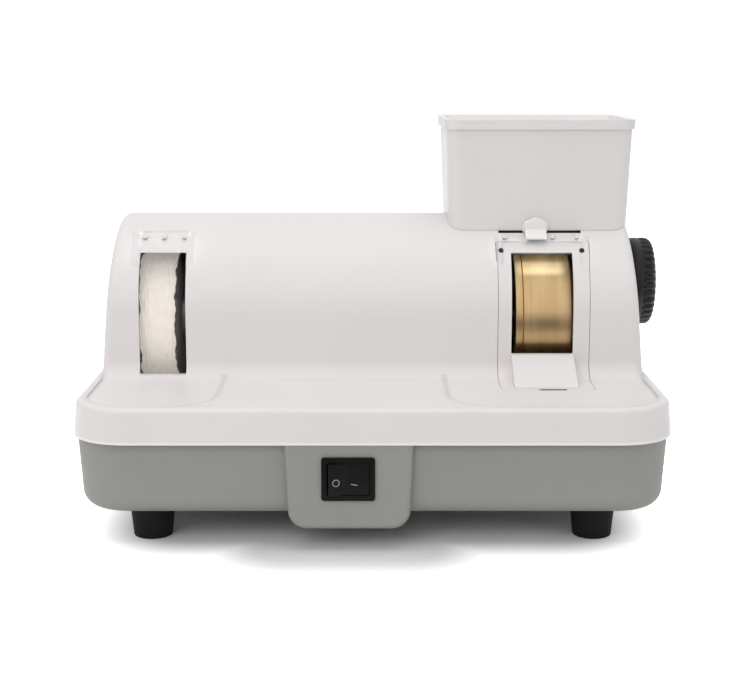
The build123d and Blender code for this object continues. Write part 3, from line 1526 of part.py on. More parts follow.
def open_pan(centre_x, width):
    """Open tub standing on the base floor."""
    with BuildSketch(Plane.XY.offset(base_floor_z)) as pan_outside:
        with Locations((centre_x, (pan_front_y + pan_rear_y) / 2)):
            RectangleRounded(width, pan_rear_y - pan_front_y, 2 * pan_wall)
    extrude(pan_outside.sketch, amount=pan_high_z - base_floor_z)
    with BuildSketch(Plane.XY.offset(base_floor_z + pan_wall)) as pan_inside:
        with Locations((centre_x, (pan_front_y + pan_rear_y) / 2)):
            RectangleRounded(width - 2 * pan_wall, pan_rear_y - pan_front_y - 2 * pan_wall, pan_wall)
    extrude(pan_inside.sketch, amount=pan_high_z - base_floor_z - pan_wall, mode=Mode.SUBTRACT)


with BuildPart() as water_pan:
    open_pan(wheel_x, pan_width)
    with BuildSketch(Plane.XZ.offset(-pan_rear_y - overrun)):
        with Locations((spigot_x, spigot_z)):
            Circle(spigot_body_radius + pan_seat_gap)
    extrude(amount=overrun + 2 * pan_wall, mode=Mode.SUBTRACT)
water_pan.part.label = "water_pan"
export_step(water_pan.part, "parts/water_pan.step")

with BuildPart() as lint_pan:
    open_pan(buff_x, lint_pan_width)
lint_pan.part.label = "lint_pan"
export_step(lint_pan.part, "parts/lint_pan.step")

# Drain spigot: a tube from the water pan out through the rear wall, where it
# steps down to the nozzle that a hose slides on
spigot_axis = Axis((spigot_x, rear_y, spigot_z), (0, 1, 0))
spigot_start_y = pan_rear_y - pan_wall
spigot_tip_y = rear_y + spigot_reach
spigot_seat_y = base_rear_y(spigot_z) - base_wall / cos(radians(base_draft_deg)) - spigot_seat_gap
spigot_flange_radius = spigot_body_radius + spigot_flange_lap
with BuildPart() as drain_spigot:
    with BuildSketch(Plane.YZ.offset(spigot_x)):
        with BuildLine():
            Polyline(
                (spigot_start_y, spigot_z + spigot_bore),
                (spigot_start_y, spigot_z + spigot_body_radius),
                (spigot_seat_y - spigot_flange_thickness, spigot_z + spigot_body_radius),
                (spigot_seat_y - spigot_flange_thickness, spigot_z + spigot_flange_radius),
                (spigot_seat_y, spigot_z + spigot_flange_radius),
                (spigot_seat_y, spigot_z + spigot_body_radius),
                (rear_y, spigot_z + spigot_body_radius),
                (rear_y, spigot_z + spigot_radius),
                (spigot_tip_y - 2 * spigot_nose, spigot_z + spigot_radius),
                (spigot_tip_y, spigot_z + spigot_radius - spigot_nose),
                (spigot_tip_y, spigot_z + spigot_bore),
                close=True,
            )
        make_face()
    revolve(axis=spigot_axis)
drain_spigot.part.label = "drain_spigot"
export_step(drain_spigot.part, "parts/drain_spigot.step")
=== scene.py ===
import json
import math
import random

import bmesh
import bpy
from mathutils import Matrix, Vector, noise


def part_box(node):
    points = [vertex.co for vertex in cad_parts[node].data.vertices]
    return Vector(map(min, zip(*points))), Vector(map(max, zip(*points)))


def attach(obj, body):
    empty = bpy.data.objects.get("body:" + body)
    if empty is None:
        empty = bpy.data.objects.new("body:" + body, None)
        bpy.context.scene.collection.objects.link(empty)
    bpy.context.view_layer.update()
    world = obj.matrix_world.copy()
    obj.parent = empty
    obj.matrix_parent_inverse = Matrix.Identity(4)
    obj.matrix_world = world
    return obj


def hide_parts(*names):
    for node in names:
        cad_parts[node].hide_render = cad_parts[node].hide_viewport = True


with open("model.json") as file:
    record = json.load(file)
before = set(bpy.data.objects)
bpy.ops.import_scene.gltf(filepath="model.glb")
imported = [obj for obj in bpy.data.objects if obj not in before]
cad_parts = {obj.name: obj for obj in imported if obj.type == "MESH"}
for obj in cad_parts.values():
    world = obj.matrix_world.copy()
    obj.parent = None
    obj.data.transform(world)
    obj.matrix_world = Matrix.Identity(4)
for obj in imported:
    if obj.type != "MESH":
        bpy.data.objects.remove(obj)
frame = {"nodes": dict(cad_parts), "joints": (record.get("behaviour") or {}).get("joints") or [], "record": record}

# Looks of the hand lens edger. Metres. +X is the operator's right, -Y the front.

MM = 0.001
NODES = frame["nodes"]
JOINTS = {joint["name"]: joint for joint in frame["joints"]}
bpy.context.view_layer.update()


def middle_x(node):
    """Middle of a node's box from side to side."""
    low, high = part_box(node)
    return (low.x + high.x) / 2


# Camera, found from the photograph. The focal length and the shift are in its pixels
PHOTO_WIDTH = 750
PHOTO_FOCAL = 1490
SENSOR_WIDTH = 36
AXIS_SHIFT = 2.5
CAMERA_PITCH = 10.38
CAMERA_HEIGHT = 278.4 * MM
CAMERA_SETBACK = 827.3 * MM

# Places on the machine
housing_low, housing_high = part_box("upper_housing")
HOUSING_X = middle_x("upper_housing")
POLISH_X = middle_x("buffing_wheel")
GRIND_X = middle_x("diamond_rim")
SPINDLE = Vector(JOINTS["spindle_spin"]["pos_m"])
CAP_CENTRE = Vector(JOINTS["cap_turn"]["pos_m"])
ROCKER_CENTRE = Vector(JOINTS["rocker_rock"]["pos_m"])
BARREL_RADIUS = 58.7 * MM
BARREL_CENTRE = Vector((0, CAP_CENTRE.y, housing_high.z - BARREL_RADIUS))
INSERT_FOOT_Y = -62.7 * MM

# Drip trays in the shelf: each one's left and right side, and what they share
TRAYS = ((-172.5 * MM, -95.7 * MM), (42.0 * MM, 166.5 * MM))
TRAY_Z = 84 * MM
TRAY_CORNER = 30 * MM
TRAY_FRONT = -110.5 * MM
TRAY_LINE_WIDTH = 3.2 * MM

# Housing's lower edge, which gets a painted highlight up to this height, and heights between which the pans turn
# dark with painted shade
EDGE_HIGHLIGHT_HEIGHT = 1.7 * MM
SHADED_Z = (92 * MM, 104 * MM)

# Places with painted shade, from and to: polishing chamber, holder's slot and finger slot
CHAMBER_X = (POLISH_X - 18 * MM, POLISH_X + 30 * MM)
SLOT_X = (GRIND_X - 40 * MM, GRIND_X + 40 * MM)
SLOT_Y = (BARREL_CENTRE.y - 36 * MM, BARREL_CENTRE.y - 26 * MM)
SLOT_Z = (BARREL_CENTRE.z + 47.5 * MM, housing_high.z)
FINGER_X = (GRIND_X - 6.2 * MM, GRIND_X + 12.2 * MM)
FINGER_Y = (INSERT_FOOT_Y - 5 * MM, INSERT_FOOT_Y + 3 * MM)
FINGER_Z = (0.0, TRAY_Z - 0.05 * MM)

# Depths under the barrel's skin, in millimetres, where the housing's inner faces, the holder's
# inner faces and the slot's sides start
INSIDE_DEPTH = 1.6
HOLDER_DEPTH = 2.5
SLOT_DEPTH = 0.3

# Wall over the diamond wheel with a painted glow, which the wheel reflects as a highlight: heights over the
# barrel's centre, where it ends towards the rear, and how far it reaches aside of the wheel in millimetres
GLOW_UP = (34 * MM, 45.5 * MM)
GLOW_REAR = (-30 * MM, -25 * MM)
GLOW_REACH = 18.0
GLOW_FADE = 6.0


# Shader groups


class Wiring:
    """Short calls for adding and joining nodes in one tree."""

    def __init__(self, tree):
        self.tree = tree

    def node(self, kind, **settings):
        made = self.tree.nodes.new("ShaderNode" + kind)
        for key, value in settings.items():
            setattr(made, key, value)
        return made

    def join(self, source, target):
        self.tree.links.new(source, target)

    def feed(self, socket, value):
        """Sets a socket to a number or colour, or joins it to another socket."""
        if isinstance(value, bpy.types.NodeSocket):
            self.join(value, socket)
        else:
            socket.default_value = value

    def math(self, operation, a, b=0.0, clamp=False):
        made = self.node("Math", operation=operation, use_clamp=clamp)
        self.feed(made.inputs[0], a)
        self.feed(made.inputs[1], b)
        return made.outputs[0]

    def product(self, first, *others):
        for other in others:
            first = self.math("MULTIPLY", first, other)
        return first

    def length(self, a, b):
        return self.math("SQRT", self.math("ADD", self.product(a, a), self.product(b, b)))

    def between(self, value, low, high):
        """Gives 1 from low to high and 0 elsewhere."""
        return self.product(self.math("GREATER_THAN", value, low), self.math("LESS_THAN", value, high))

    def past(self, value, middle, half):
        """How far a value lies past a stretch that reaches half to each side of a middle."""
        return self.math("SUBTRACT", self.math("ABSOLUTE", self.math("SUBTRACT", value, middle)), half)

    def ramp(self, value, low, high, start=0.0, end=1.0):
        """Maps low..high smoothly to start..end."""
        made = self.node("MapRange", interpolation_type="SMOOTHSTEP")
        self.feed(made.inputs["Value"], value)
        for socket, number in (("From Min", low), ("From Max", high), ("To Min", start), ("To Max", end)):
            self.feed(made.inputs[socket], number)
        return made.outputs["Result"]

    def noise(self, place, scale, detail, roughness):
        made = self.node("TexNoise")
        self.feed(made.inputs["Vector"], place)
        for socket, value in (("Scale", scale), ("Detail", detail), ("Roughness", roughness)):
            self.feed(made.inputs[socket], value)
        return made.outputs["Fac"]

    def place(self):
        return self.node("TexCoord").outputs["Object"]

    def surface(self, value):
        return self.node("NewGeometry").outputs[value]

    def split(self, vector):
        made = self.node("SeparateXYZ")
        self.join(vector, made.inputs["Vector"])
        return made.outputs

    def stretched(self, place, factors):
        made = self.node("Mapping")
        self.join(place, made.inputs["Vector"])
        made.inputs["Scale"].default_value = factors
        return made.outputs["Vector"]

    def barrel_depth(self, y, z):
        """How deep a place lies under the skin of the barrel and its upright walls, in millimetres."""
        along = self.math("SUBTRACT", y, BARREL_CENTRE.y)
        over = self.math("MAXIMUM", self.math("SUBTRACT", z, BARREL_CENTRE.z), 0.0)
        return self.math("DIVIDE", self.math("SUBTRACT", BARREL_RADIUS, self.length(along, over)), MM)


def new_group(name, inputs, outputs=("Mask",)):
    """Shader group with named numbers going in and out: its wiring, what it is given and what it gives."""
    group = bpy.data.node_groups.new(name, "ShaderNodeTree")
    for socket, value in inputs.items():
        made = group.interface.new_socket(socket, in_out="INPUT", socket_type="NodeSocketFloat")
        made.default_value = value
    for socket in outputs:
        group.interface.new_socket(socket, in_out="OUTPUT", socket_type="NodeSocketFloat")
    given = group.nodes.new("NodeGroupInput").outputs
    gives = group.nodes.new("NodeGroupOutput").inputs
    return Wiring(group), given, gives


def moulded_grain_group():
    """Fine spark grain of moulded plastic, with a slow mottle."""
    w, given, gives = new_group(
        "moulded grain", {"Grain Scale": 1800.0, "Mottle Scale": 14.0}, ("Height", "Mottle"))
    place = w.place()
    fine = w.noise(place, given["Grain Scale"], detail=2.0, roughness=0.6)
    slow = w.noise(place, given["Mottle Scale"], detail=4.0, roughness=0.55)
    w.join(fine, gives["Height"])
    w.join(w.ramp(slow, 0.3, 0.7), gives["Mottle"])
    return w.tree


def edge_wear_group():
    """Mask of rubbed outer edges, broken up by noise."""
    w, given, gives = new_group("edge wear", {"Amount": 0.5, "Patch Scale": 90.0})
    edge = w.ramp(w.surface("Pointiness"), 0.52, 0.62)
    patch = w.ramp(w.noise(w.place(), given["Patch Scale"], detail=5.0, roughness=0.6), 0.42, 0.62)
    w.join(w.product(edge, patch, given["Amount"]), gives["Mask"])
    return w.tree


def dust_group():
    """Mask of pale dust that lies on surfaces facing up."""
    w, given, gives = new_group("dust", {"Amount": 0.3, "Patch Scale": 60.0})
    upward = w.ramp(w.split(w.surface("Normal"))["Z"], 0.2, 0.95)
    patch = w.ramp(w.noise(w.place(), given["Patch Scale"], detail=6.0, roughness=0.65), 0.35, 0.75)
    w.join(w.product(upward, patch, given["Amount"]), gives["Mask"])
    return w.tree


def turned_lines_group():
    """Fine lines left by turning on a lathe, round an axis along X."""
    w, given, gives = new_group(
        "turned lines", {"Line Scale": 2600.0, "Band Scale": 90.0}, ("Height", "Bands"))
    place = w.place()
    lines = w.noise(w.stretched(place, (1.0, 0.02, 0.02)), given["Line Scale"], detail=3.0, roughness=0.6)
    bands = w.noise(w.stretched(place, (1.0, 0.08, 0.08)), given["Band Scale"], detail=3.0, roughness=0.5)
    w.join(lines, gives["Height"])
    w.join(w.ramp(bands, 0.35, 0.65), gives["Bands"])
    return w.tree


def fibre_group():
    """Short crossed fibres of felt and cotton."""
    w, given, gives = new_group("fibres", {"Fibre Scale": 900.0, "Tuft Scale": 160.0}, ("Height", "Tufts"))
    place = w.place()
    across = w.noise(w.stretched(place, (0.25, 1.0, 1.6)), given["Fibre Scale"], detail=4.0, roughness=0.65)
    along = w.noise(w.stretched(place, (1.4, 0.3, 0.4)), given["Fibre Scale"], detail=4.0, roughness=0.65)
    tufts = w.noise(place, given["Tuft Scale"], detail=5.0, roughness=0.6)
    w.join(w.math("MAXIMUM", across, along), gives["Height"])
    w.join(w.ramp(tufts, 0.3, 0.7), gives["Tufts"])
    return w.tree


def chamber_shade_group():
    """Mask of painted shade: the polishing side's chamber, and the two slots of the grinding side."""
    w, given, gives = new_group("painted chamber shade", {"Depth": INSIDE_DEPTH, "Slot Depth": SLOT_DEPTH})
    x, y, z = w.split(w.place())
    depth = w.barrel_depth(y, z)
    inside = w.math("SUBTRACT", depth, given["Depth"], clamp=True)
    chamber = w.product(inside, w.between(x, *CHAMBER_X))
    below_skin = w.math("GREATER_THAN", depth, given["Slot Depth"])
    slot = w.product(below_skin, w.between(x, *SLOT_X), w.between(y, *SLOT_Y), w.between(z, *SLOT_Z))
    finger = w.product(w.between(x, *FINGER_X), w.between(y, *FINGER_Y), w.between(z, *FINGER_Z))
    w.join(w.math("MAXIMUM", chamber, w.math("MAXIMUM", slot, finger)), gives["Mask"])
    return w.tree


def tray_shade_group():
    """Soft line of painted shade along the rounded outline of a drip tray."""
    w, given, gives = new_group("painted tray shade", {
        "Middle X": 0.0, "Middle Y": 0.0, "Half X": 0.05, "Half Y": 0.05, "Corner": 0.03, "Width": 0.0012})
    spot = w.split(w.place())
    corner = given["Corner"]
    past = []
    for axis in ("X", "Y"):
        edge = w.past(spot[axis], given["Middle " + axis], given["Half " + axis])
        past.append(w.math("ADD", edge, corner))
    round_off = w.length(*(w.math("MAXIMUM", value, 0.0) for value in past))
    inner = w.math("MINIMUM", w.math("MAXIMUM", *past), 0.0)
    distance = w.math("ABSOLUTE", w.math("SUBTRACT", w.math("ADD", round_off, inner), corner))
    line = w.ramp(w.math("DIVIDE", distance, given["Width"]), 0.0, 1.0, 1.0, 0.0)
    over_floor = w.ramp(spot["Z"], TRAY_Z - 1 * MM, TRAY_Z - 0.5 * MM)
    under_cove = w.ramp(spot["Z"], TRAY_Z + 3 * MM, TRAY_Z + 4 * MM, 1.0, 0.0)
    w.join(w.product(line, over_floor, under_cove), gives["Mask"])
    return w.tree


def glow_wall_group():
    """Mask of the inner faces over the diamond wheel that get a painted glow, seen as a highlight in the wheel."""
    w, given, gives = new_group("painted glow wall", {"Depth": INSIDE_DEPTH, "Reach": GLOW_REACH})
    x, y, z = w.split(w.place())
    inside = w.math("GREATER_THAN", w.barrel_depth(y, z), given["Depth"])
    aside = w.past(w.math("DIVIDE", x, MM), GRIND_X / MM, given["Reach"])
    near = w.ramp(aside, -GLOW_FADE, 0.0, 1.0, 0.0)
    high = w.between(w.math("SUBTRACT", z, BARREL_CENTRE.z), *GLOW_UP)
    front = w.ramp(w.math("SUBTRACT", y, BARREL_CENTRE.y), *GLOW_REAR, 1.0, 0.0)
    w.join(w.product(inside, near, high, front), gives["Mask"])
    return w.tree


def lower_edge_highlight_group():
    """Mask of a moulding's lowest millimetres, which get a painted highlight."""
    w, given, gives = new_group("lower edge", {"Lowest": 0.0, "Height": 0.0016})
    rise = w.math("SUBTRACT", w.split(w.place())["Z"], given["Lowest"])
    w.join(w.ramp(w.math("DIVIDE", rise, given["Height"]), 0.7, 1.0, 1.0, 0.0), gives["Mask"])
    return w.tree


def sideways_group():
    """Mask of the faces that look along X."""
    w, given, gives = new_group("sideways faces", {"From": 0.85, "To": 0.95})
    size = w.math("ABSOLUTE", w.split(w.surface("Normal"))["X"])
    w.join(w.ramp(size, given["From"], given["To"]), gives["Mask"])
    return w.tree


def inward_group():
    """Mask of the faces that look at a centre, such as the inside of a tank."""
    w, given, gives = new_group("inward faces", {"Centre X": 0.0, "Centre Y": 0.0})
    spot = w.split(w.place())
    normal = w.split(w.surface("Normal"))
    outward = []
    for axis in ("X", "Y"):
        outward.append(w.product(w.math("SUBTRACT", spot[axis], given["Centre " + axis]), normal[axis]))
    w.join(w.ramp(w.math("ADD", *outward), -4 * MM, -1 * MM, 1.0, 0.0), gives["Mask"])
    return w.tree


GRAIN = moulded_grain_group()
WEAR = edge_wear_group()
DUST = dust_group()
TURNED = turned_lines_group()
FIBRE = fibre_group()
CHAMBER_SHADE = chamber_shade_group()
TRAY_SHADE = tray_shade_group()
GLOW_WALL = glow_wall_group()
LOWER_EDGE_HIGHLIGHT = lower_edge_highlight_group()
SIDEWAYS = sideways_group()
INWARD = inward_group()


# Materials

# How far the bumps reach
GRAIN_RELIEF = 0.2 * MM
LINE_RELIEF = 0.1 * MM
FIBRE_RELIEF = 0.3 * MM


def linear(red, green, blue):
    """Turns a colour from 0-255 screen values into the linear values of a shader."""
    made = []
    for value in (red, green, blue):
        share = value / 255
        made.append(share / 12.92 if share <= 0.04045 else ((share + 0.055) / 1.055) ** 2.4)
    return (*made, 1.0)


def shade(colour, factor):
    """Makes a colour paler or darker."""
    return tuple(min(1.0, channel * factor) for channel in colour[:3]) + (1.0,)


WHITE = linear(229, 225, 224)
DUST_GREY = linear(206, 203, 198)
# Painted shade of the chamber and slots, painted shade of the pans, and the cloth's darker sides
PAINTED_SHADE = linear(13, 9, 7)
INNER_PAINTED_SHADE = linear(40, 34, 29)
CLOTH_SIDE_TONE = linear(74, 62, 52)
NO_LIGHT = (0.0, 0.0, 0.0, 1.0)

# Painted glow of thin walls, as if lit from behind: its colour and strength
GLOW_PLASTIC = ((0.78, 0.9, 1.0, 1.0), 2.1)
GLOW_COTTON = ((1.0, 0.94, 0.87, 1.0), 0.34)
GLOW_ACRYLIC = ((1.0, 1.0, 1.0, 1.0), 0.5)


def empty_material(name):
    """Material without nodes, and its wiring."""
    material = bpy.data.materials.new(name)
    material.use_nodes = True
    material.node_tree.nodes.clear()
    return material, Wiring(material.node_tree)


class Finish:
    """One material: a Principled shader with its wiring."""

    def __init__(self, name):
        self.material, self.w = empty_material(name)
        self.shader = self.w.node("BsdfPrincipled")
        self.w.join(self.shader.outputs["BSDF"], self.w.node("OutputMaterial").inputs["Surface"])

    def set(self, **values):
        for key, value in values.items():
            self.w.feed(self.shader.inputs[key.replace("_", " ")], value)

    def group(self, group, **values):
        made = self.w.node("Group")
        made.node_tree = group
        for key, value in values.items():
            made.inputs[key.replace("_", " ")].default_value = value
        return made.outputs

    def mask(self, group, **values):
        return self.group(group, **values)["Mask"]

    def blend(self, mask, first, second):
        made = self.w.node("Mix", data_type="RGBA")
        for socket, value in (("Factor", mask), ("A", first), ("B", second)):
            self.w.feed(made.inputs[socket], value)
        return made.outputs["Result"]

    def tint(self, mask, colour):
        """Lays another tone over the finish where a mask says."""
        under = self.shader.inputs["Base Color"].links[0].from_socket
        self.set(Base_Color=self.blend(mask, under, colour))

    def glow(self, mask, colour, strength):
        """Paints a glow where a mask says, like a thin wall that is lit from behind."""
        self.set(Emission_Color=self.blend(mask, NO_LIGHT, colour), Emission_Strength=strength)

    def dull(self, mask, low, high):
        """Roughness from low to high as a mask says."""
        self.set(Roughness=self.w.ramp(mask, 0.0, 1.0, low, high))

    def bump(self, height, strength, relief):
        made = self.w.node("Bump")
        made.inputs["Strength"].default_value = strength
        made.inputs["Distance"].default_value = relief
        self.w.join(height, made.inputs["Height"])
        self.w.join(made.outputs["Normal"], self.shader.inputs["Normal"])


def plastic(
        name, colour, roughness, grain=0.12, grain_scale=1800.0, mottle=0.02, wear=0.0, dust=0.0, shine=0.5):
    """Moulded plastic: grain in the bump, a slow mottle, rubbed edges and dust."""
    finish = Finish(name)
    skin = finish.group(GRAIN, Grain_Scale=grain_scale, Mottle_Scale=14.0)
    base = finish.blend(skin["Mottle"], shade(colour, 1 - mottle), shade(colour, 1 + mottle))
    finish.set(Base_Color=base, Specular_IOR_Level=shine)
    finish.dull(skin["Mottle"], roughness - 0.03, roughness + 0.04)
    if wear:
        finish.tint(finish.mask(WEAR, Amount=wear, Patch_Scale=90.0), shade(colour, 1.6))
    if dust:
        finish.tint(finish.mask(DUST, Amount=dust, Patch_Scale=60.0), DUST_GREY)
    finish.bump(skin["Height"], grain, GRAIN_RELIEF)
    return finish


def housing_plastic(name, roughness, grain, mottle):
    """White moulding of the housing: painted shade along the trays, a painted highlight on the lower edge, painted
    shade in the chamber and slots, and a painted glow over the diamond wheel.
    """
    finish = plastic(name, WHITE, roughness, grain=grain, mottle=mottle)
    rear = BARREL_CENTRE.y
    # Painted shade along each drip tray's outline, where the step's shadow falls
    for left, right in TRAYS:
        line = finish.mask(
            TRAY_SHADE, Middle_X=(left + right) / 2, Middle_Y=(TRAY_FRONT + rear) / 2,
            Half_X=(right - left) / 2, Half_Y=(rear - TRAY_FRONT) / 2,
            Corner=TRAY_CORNER, Width=TRAY_LINE_WIDTH)
        finish.tint(finish.w.product(line, 0.5), shade(WHITE, 0.7))
    # Painted highlight along the lowest edge
    finish.tint(finish.mask(LOWER_EDGE_HIGHLIGHT, Lowest=housing_low.z, Height=EDGE_HIGHLIGHT_HEIGHT), shade(WHITE, 1.14))
    # Painted shade in the polishing chamber, the holder's slot and the finger slot
    finish.tint(finish.mask(CHAMBER_SHADE, Depth=INSIDE_DEPTH, Slot_Depth=SLOT_DEPTH), PAINTED_SHADE)
    # Painted glow on the inner wall over the diamond wheel
    finish.glow(finish.mask(GLOW_WALL, Depth=INSIDE_DEPTH, Reach=GLOW_REACH), *GLOW_PLASTIC)
    return finish


def holder_plastic(name, colour):
    """White moulding of the sponge holder, with a painted glow on its faces inside the housing."""
    finish = plastic(name, colour, 0.35, grain=0.06, mottle=0.02)
    finish.glow(finish.mask(GLOW_WALL, Depth=HOLDER_DEPTH, Reach=GLOW_REACH), *GLOW_PLASTIC)
    return finish


def tank_plastic(name, inside):
    """Thin white moulding, with its inner faces made paler by painted light."""
    finish = plastic(name, WHITE, 0.36, grain=0.05, mottle=0.01)
    low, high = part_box("water_tank")
    inner = finish.mask(INWARD, Centre_X=(low.x + high.x) / 2, Centre_Y=(low.y + high.y) / 2)
    finish.tint(inner, inside)
    return finish


def inner_plastic(name, colour):
    """White pans and partitions, darkened above the pans' rims by painted shade."""
    finish = plastic(name, colour, 0.6, grain=0.15, mottle=0.05)
    height = finish.w.split(finish.w.place())["Z"]
    finish.tint(finish.w.ramp(height, *SHADED_Z), INNER_PAINTED_SHADE)
    return finish


def clear_plastic(name, colour, roughness):
    """Clear acrylic, faintly scuffed, with a painted glow on its cut edges."""
    finish = Finish(name)
    skin = finish.group(GRAIN, Grain_Scale=700.0, Mottle_Scale=40.0)
    finish.set(Base_Color=colour, IOR=1.11, Transmission_Weight=1.0)
    finish.dull(skin["Mottle"], roughness, roughness + 0.05)
    finish.bump(skin["Height"], 0.02, LINE_RELIEF)
    finish.glow(finish.mask(SIDEWAYS, From=0.86, To=0.94), *GLOW_ACRYLIC)
    return finish


def metal(name, colour, roughness, lines=0.15, line_scale=2600.0, metallic=1.0):
    """Turned or drawn metal: fine lines, slow bands of tone and rubbed edges."""
    finish = Finish(name)
    turned = finish.group(TURNED, Line_Scale=line_scale, Band_Scale=90.0)
    base = finish.blend(turned["Bands"], shade(colour, 0.94), shade(colour, 1.06))
    finish.set(Base_Color=base, Metallic=metallic)
    finish.dull(turned["Bands"], roughness - 0.05, roughness + 0.06)
    finish.tint(finish.mask(WEAR, Amount=0.4, Patch_Scale=120.0), shade(colour, 1.25))
    finish.bump(turned["Height"], lines, LINE_RELIEF)
    return finish


def bronze(name, dark, pale, grit):
    """Sintered bronze with diamond grit, drawn into fine lines by the lenses it has cut."""
    finish = Finish(name)
    turned = finish.group(TURNED, Line_Scale=3400.0, Band_Scale=140.0)
    grains = finish.w.noise(finish.w.place(), 5200.0, detail=2.0, roughness=0.6)
    finish.set(Base_Color=finish.blend(turned["Bands"], dark, pale), Metallic=1.0)
    finish.dull(turned["Bands"], 0.33, 0.38)
    finish.tint(finish.w.ramp(grains, 0.56, 0.7, 0.0, 0.3), grit)
    finish.bump(finish.w.math("ADD", finish.w.product(turned["Height"], 0.3), grains), 0.1, LINE_RELIEF)
    return finish


def cloth(name, colour, dark, rough):
    """Pressed cotton or felt: fibres in the bump, tufts in the tone."""
    finish = Finish(name)
    fibre = finish.group(FIBRE, Fibre_Scale=900.0, Tuft_Scale=160.0)
    base = finish.blend(fibre["Tufts"], dark, colour)
    finish.set(Base_Color=base, Roughness=0.95, Sheen_Weight=0.6, Sheen_Roughness=0.6)
    finish.bump(fibre["Height"], rough, FIBRE_RELIEF)
    return finish


def buff_cloth(name, colour, dark):
    """Bleached cotton with a painted glow round its rim, darker on its sides."""
    finish = cloth(name, colour, dark, 0.15)
    sides = finish.mask(SIDEWAYS, From=0.55, To=0.9)
    finish.tint(sides, CLOTH_SIDE_TONE)
    finish.glow(finish.w.math("SUBTRACT", 1.0, sides), *GLOW_COTTON)
    return finish


FINISHES = {
    "housing_white": housing_plastic("housing white", 0.42, 0.05, 0.008),
    "base_grey": plastic("base grey", linear(149, 149, 145), 0.6, grain=0.25, grain_scale=1400.0, mottle=0.015),
    "foot_rubber": plastic("foot rubber", linear(22, 22, 23), 0.75, grain=0.3, mottle=0.12, dust=0.1, shine=0.2),
    "screw_steel": metal("zinc plated screws", linear(196, 196, 194), 0.32),
    "nylon_white": plastic("white nylon", linear(226, 223, 220), 0.4, grain=0.1, mottle=0.03),
    "insert_screw_black": metal("blackened screws", linear(48, 47, 46), 0.4, metallic=0.7),
    "switch_black": plastic("switch black", linear(18, 18, 18), 0.42, grain=0.2, mottle=0.1, shine=0.12),
    "rocker_black": plastic("rocker black", linear(22, 22, 23), 0.34, grain=0.12, mottle=0.1, shine=0.12),
    "terminal_brass": metal("terminal brass", linear(205, 176, 112), 0.3),
    "motor_grey": plastic("motor enamel", linear(92, 96, 100), 0.4, grain=0.1, mottle=0.05, wear=0.3),
    "cast_aluminium": metal("cast aluminium", linear(190, 192, 194), 0.5, lines=0.3, line_scale=900.0),
    "bearing_steel": metal("ground steel", linear(150, 148, 145), 0.34),
    "core_steel": metal("laminated steel", linear(112, 110, 108), 0.45, lines=0.6, line_scale=1600.0),
    "winding_copper": metal("enamelled copper", linear(178, 100, 58), 0.35, lines=0.8, line_scale=1200.0),
    "sheet_steel": metal("plated sheet", linear(184, 186, 188), 0.35),
    "capacitor_can": metal("drawn can", linear(198, 199, 200), 0.3),
    "diamond_bronze": bronze(
        "diamond bronze", linear(208, 176, 128), linear(222, 192, 146), linear(160, 126, 86)),
    "buff_cloth": buff_cloth("buff cloth", linear(208, 199, 189), linear(199, 189, 178)),
    "insert_white": housing_plastic("insert white", 0.38, 0.06, 0.01),
    "guard_clear": clear_plastic("guard clear", linear(243, 244, 244), 0.03),
    "holder_white": holder_plastic("holder white", linear(243, 239, 236)),
    "felt_grey": cloth("drip felt", linear(176, 174, 170), linear(150, 148, 144), 0.4),
    "tank_white": tank_plastic("tank white", linear(252, 250, 249)),
    "spout_grey": plastic("spout grey", linear(118, 120, 120), 0.45, mottle=0.04),
    "inner_white": inner_plastic("inner white", linear(206, 202, 195)),
    "cap_black": plastic("cap black", linear(26, 25, 25), 0.4, grain=0.2, mottle=0.1, shine=0.3),
    "mark_grey": plastic("printed marks", linear(158, 158, 158), 0.5, mottle=0.03),
}

for part in frame["record"]["subparts"]:
    mesh = NODES[part["node"]].data
    mesh.materials.clear()
    mesh.materials.append(FINISHES[part["material_slot"]].material)


# Mesh makers

WELD = 0.01 * MM


def make_piece(name, build, finish, body, replaced=(), smooth=True):
    """Builds a mesh, gives it a finish and lets it ride on a body."""
    bm = bmesh.new()
    build(bm)
    bmesh.ops.remove_doubles(bm, verts=bm.verts, dist=WELD)
    bmesh.ops.recalc_face_normals(bm, faces=bm.faces)
    mesh = bpy.data.meshes.new(name)
    bm.to_mesh(mesh)
    bm.free()
    for face in mesh.polygons:
        face.use_smooth = smooth
    piece = bpy.data.objects.new(name, mesh)
    bpy.context.scene.collection.objects.link(piece)
    mesh.materials.append(FINISHES[finish].material)
    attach(piece, body)
    if replaced:
        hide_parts(*replaced)


def turns(steps):
    """Evenly spaced angles of one full turn."""
    return [2 * math.pi * step / steps for step in range(steps)]


def circle(centre, side, up, radius, steps):
    """Points round a circle that two directions span."""
    return [centre + radius * (math.cos(turn) * side + math.sin(turn) * up) for turn in turns(steps)]


def sweep_rings(bm, rings, close_ends=True):
    """Joins rings of equal counts of points into a skin."""
    rows = [[bm.verts.new(point) for point in ring] for ring in rings]
    count = len(rows[0])
    for near, far in zip(rows, rows[1:]):
        for index in range(count):
            after = (index + 1) % count
            bm.faces.new((near[index], near[after], far[after], far[index]))
    if close_ends:
        bm.faces.new(rows[0])
        bm.faces.new(rows[-1])


def around(centre, x, radius, angle):
    """Point at a radius and angle round an axis along X."""
    return Vector((x, centre.y + radius * math.cos(angle), centre.z + radius * math.sin(angle)))


def lathe_rings(profile, centre, steps, wobble):
    """Rings round an axis along X. The profile is (x, radius), and wobble moves each point."""
    rings = []
    for index, (x, radius) in enumerate(profile):
        rings.append([around(centre, *wobble(index, x, radius, angle), angle) for angle in turns(steps)])
    return rings


# Cloth polishing wheel

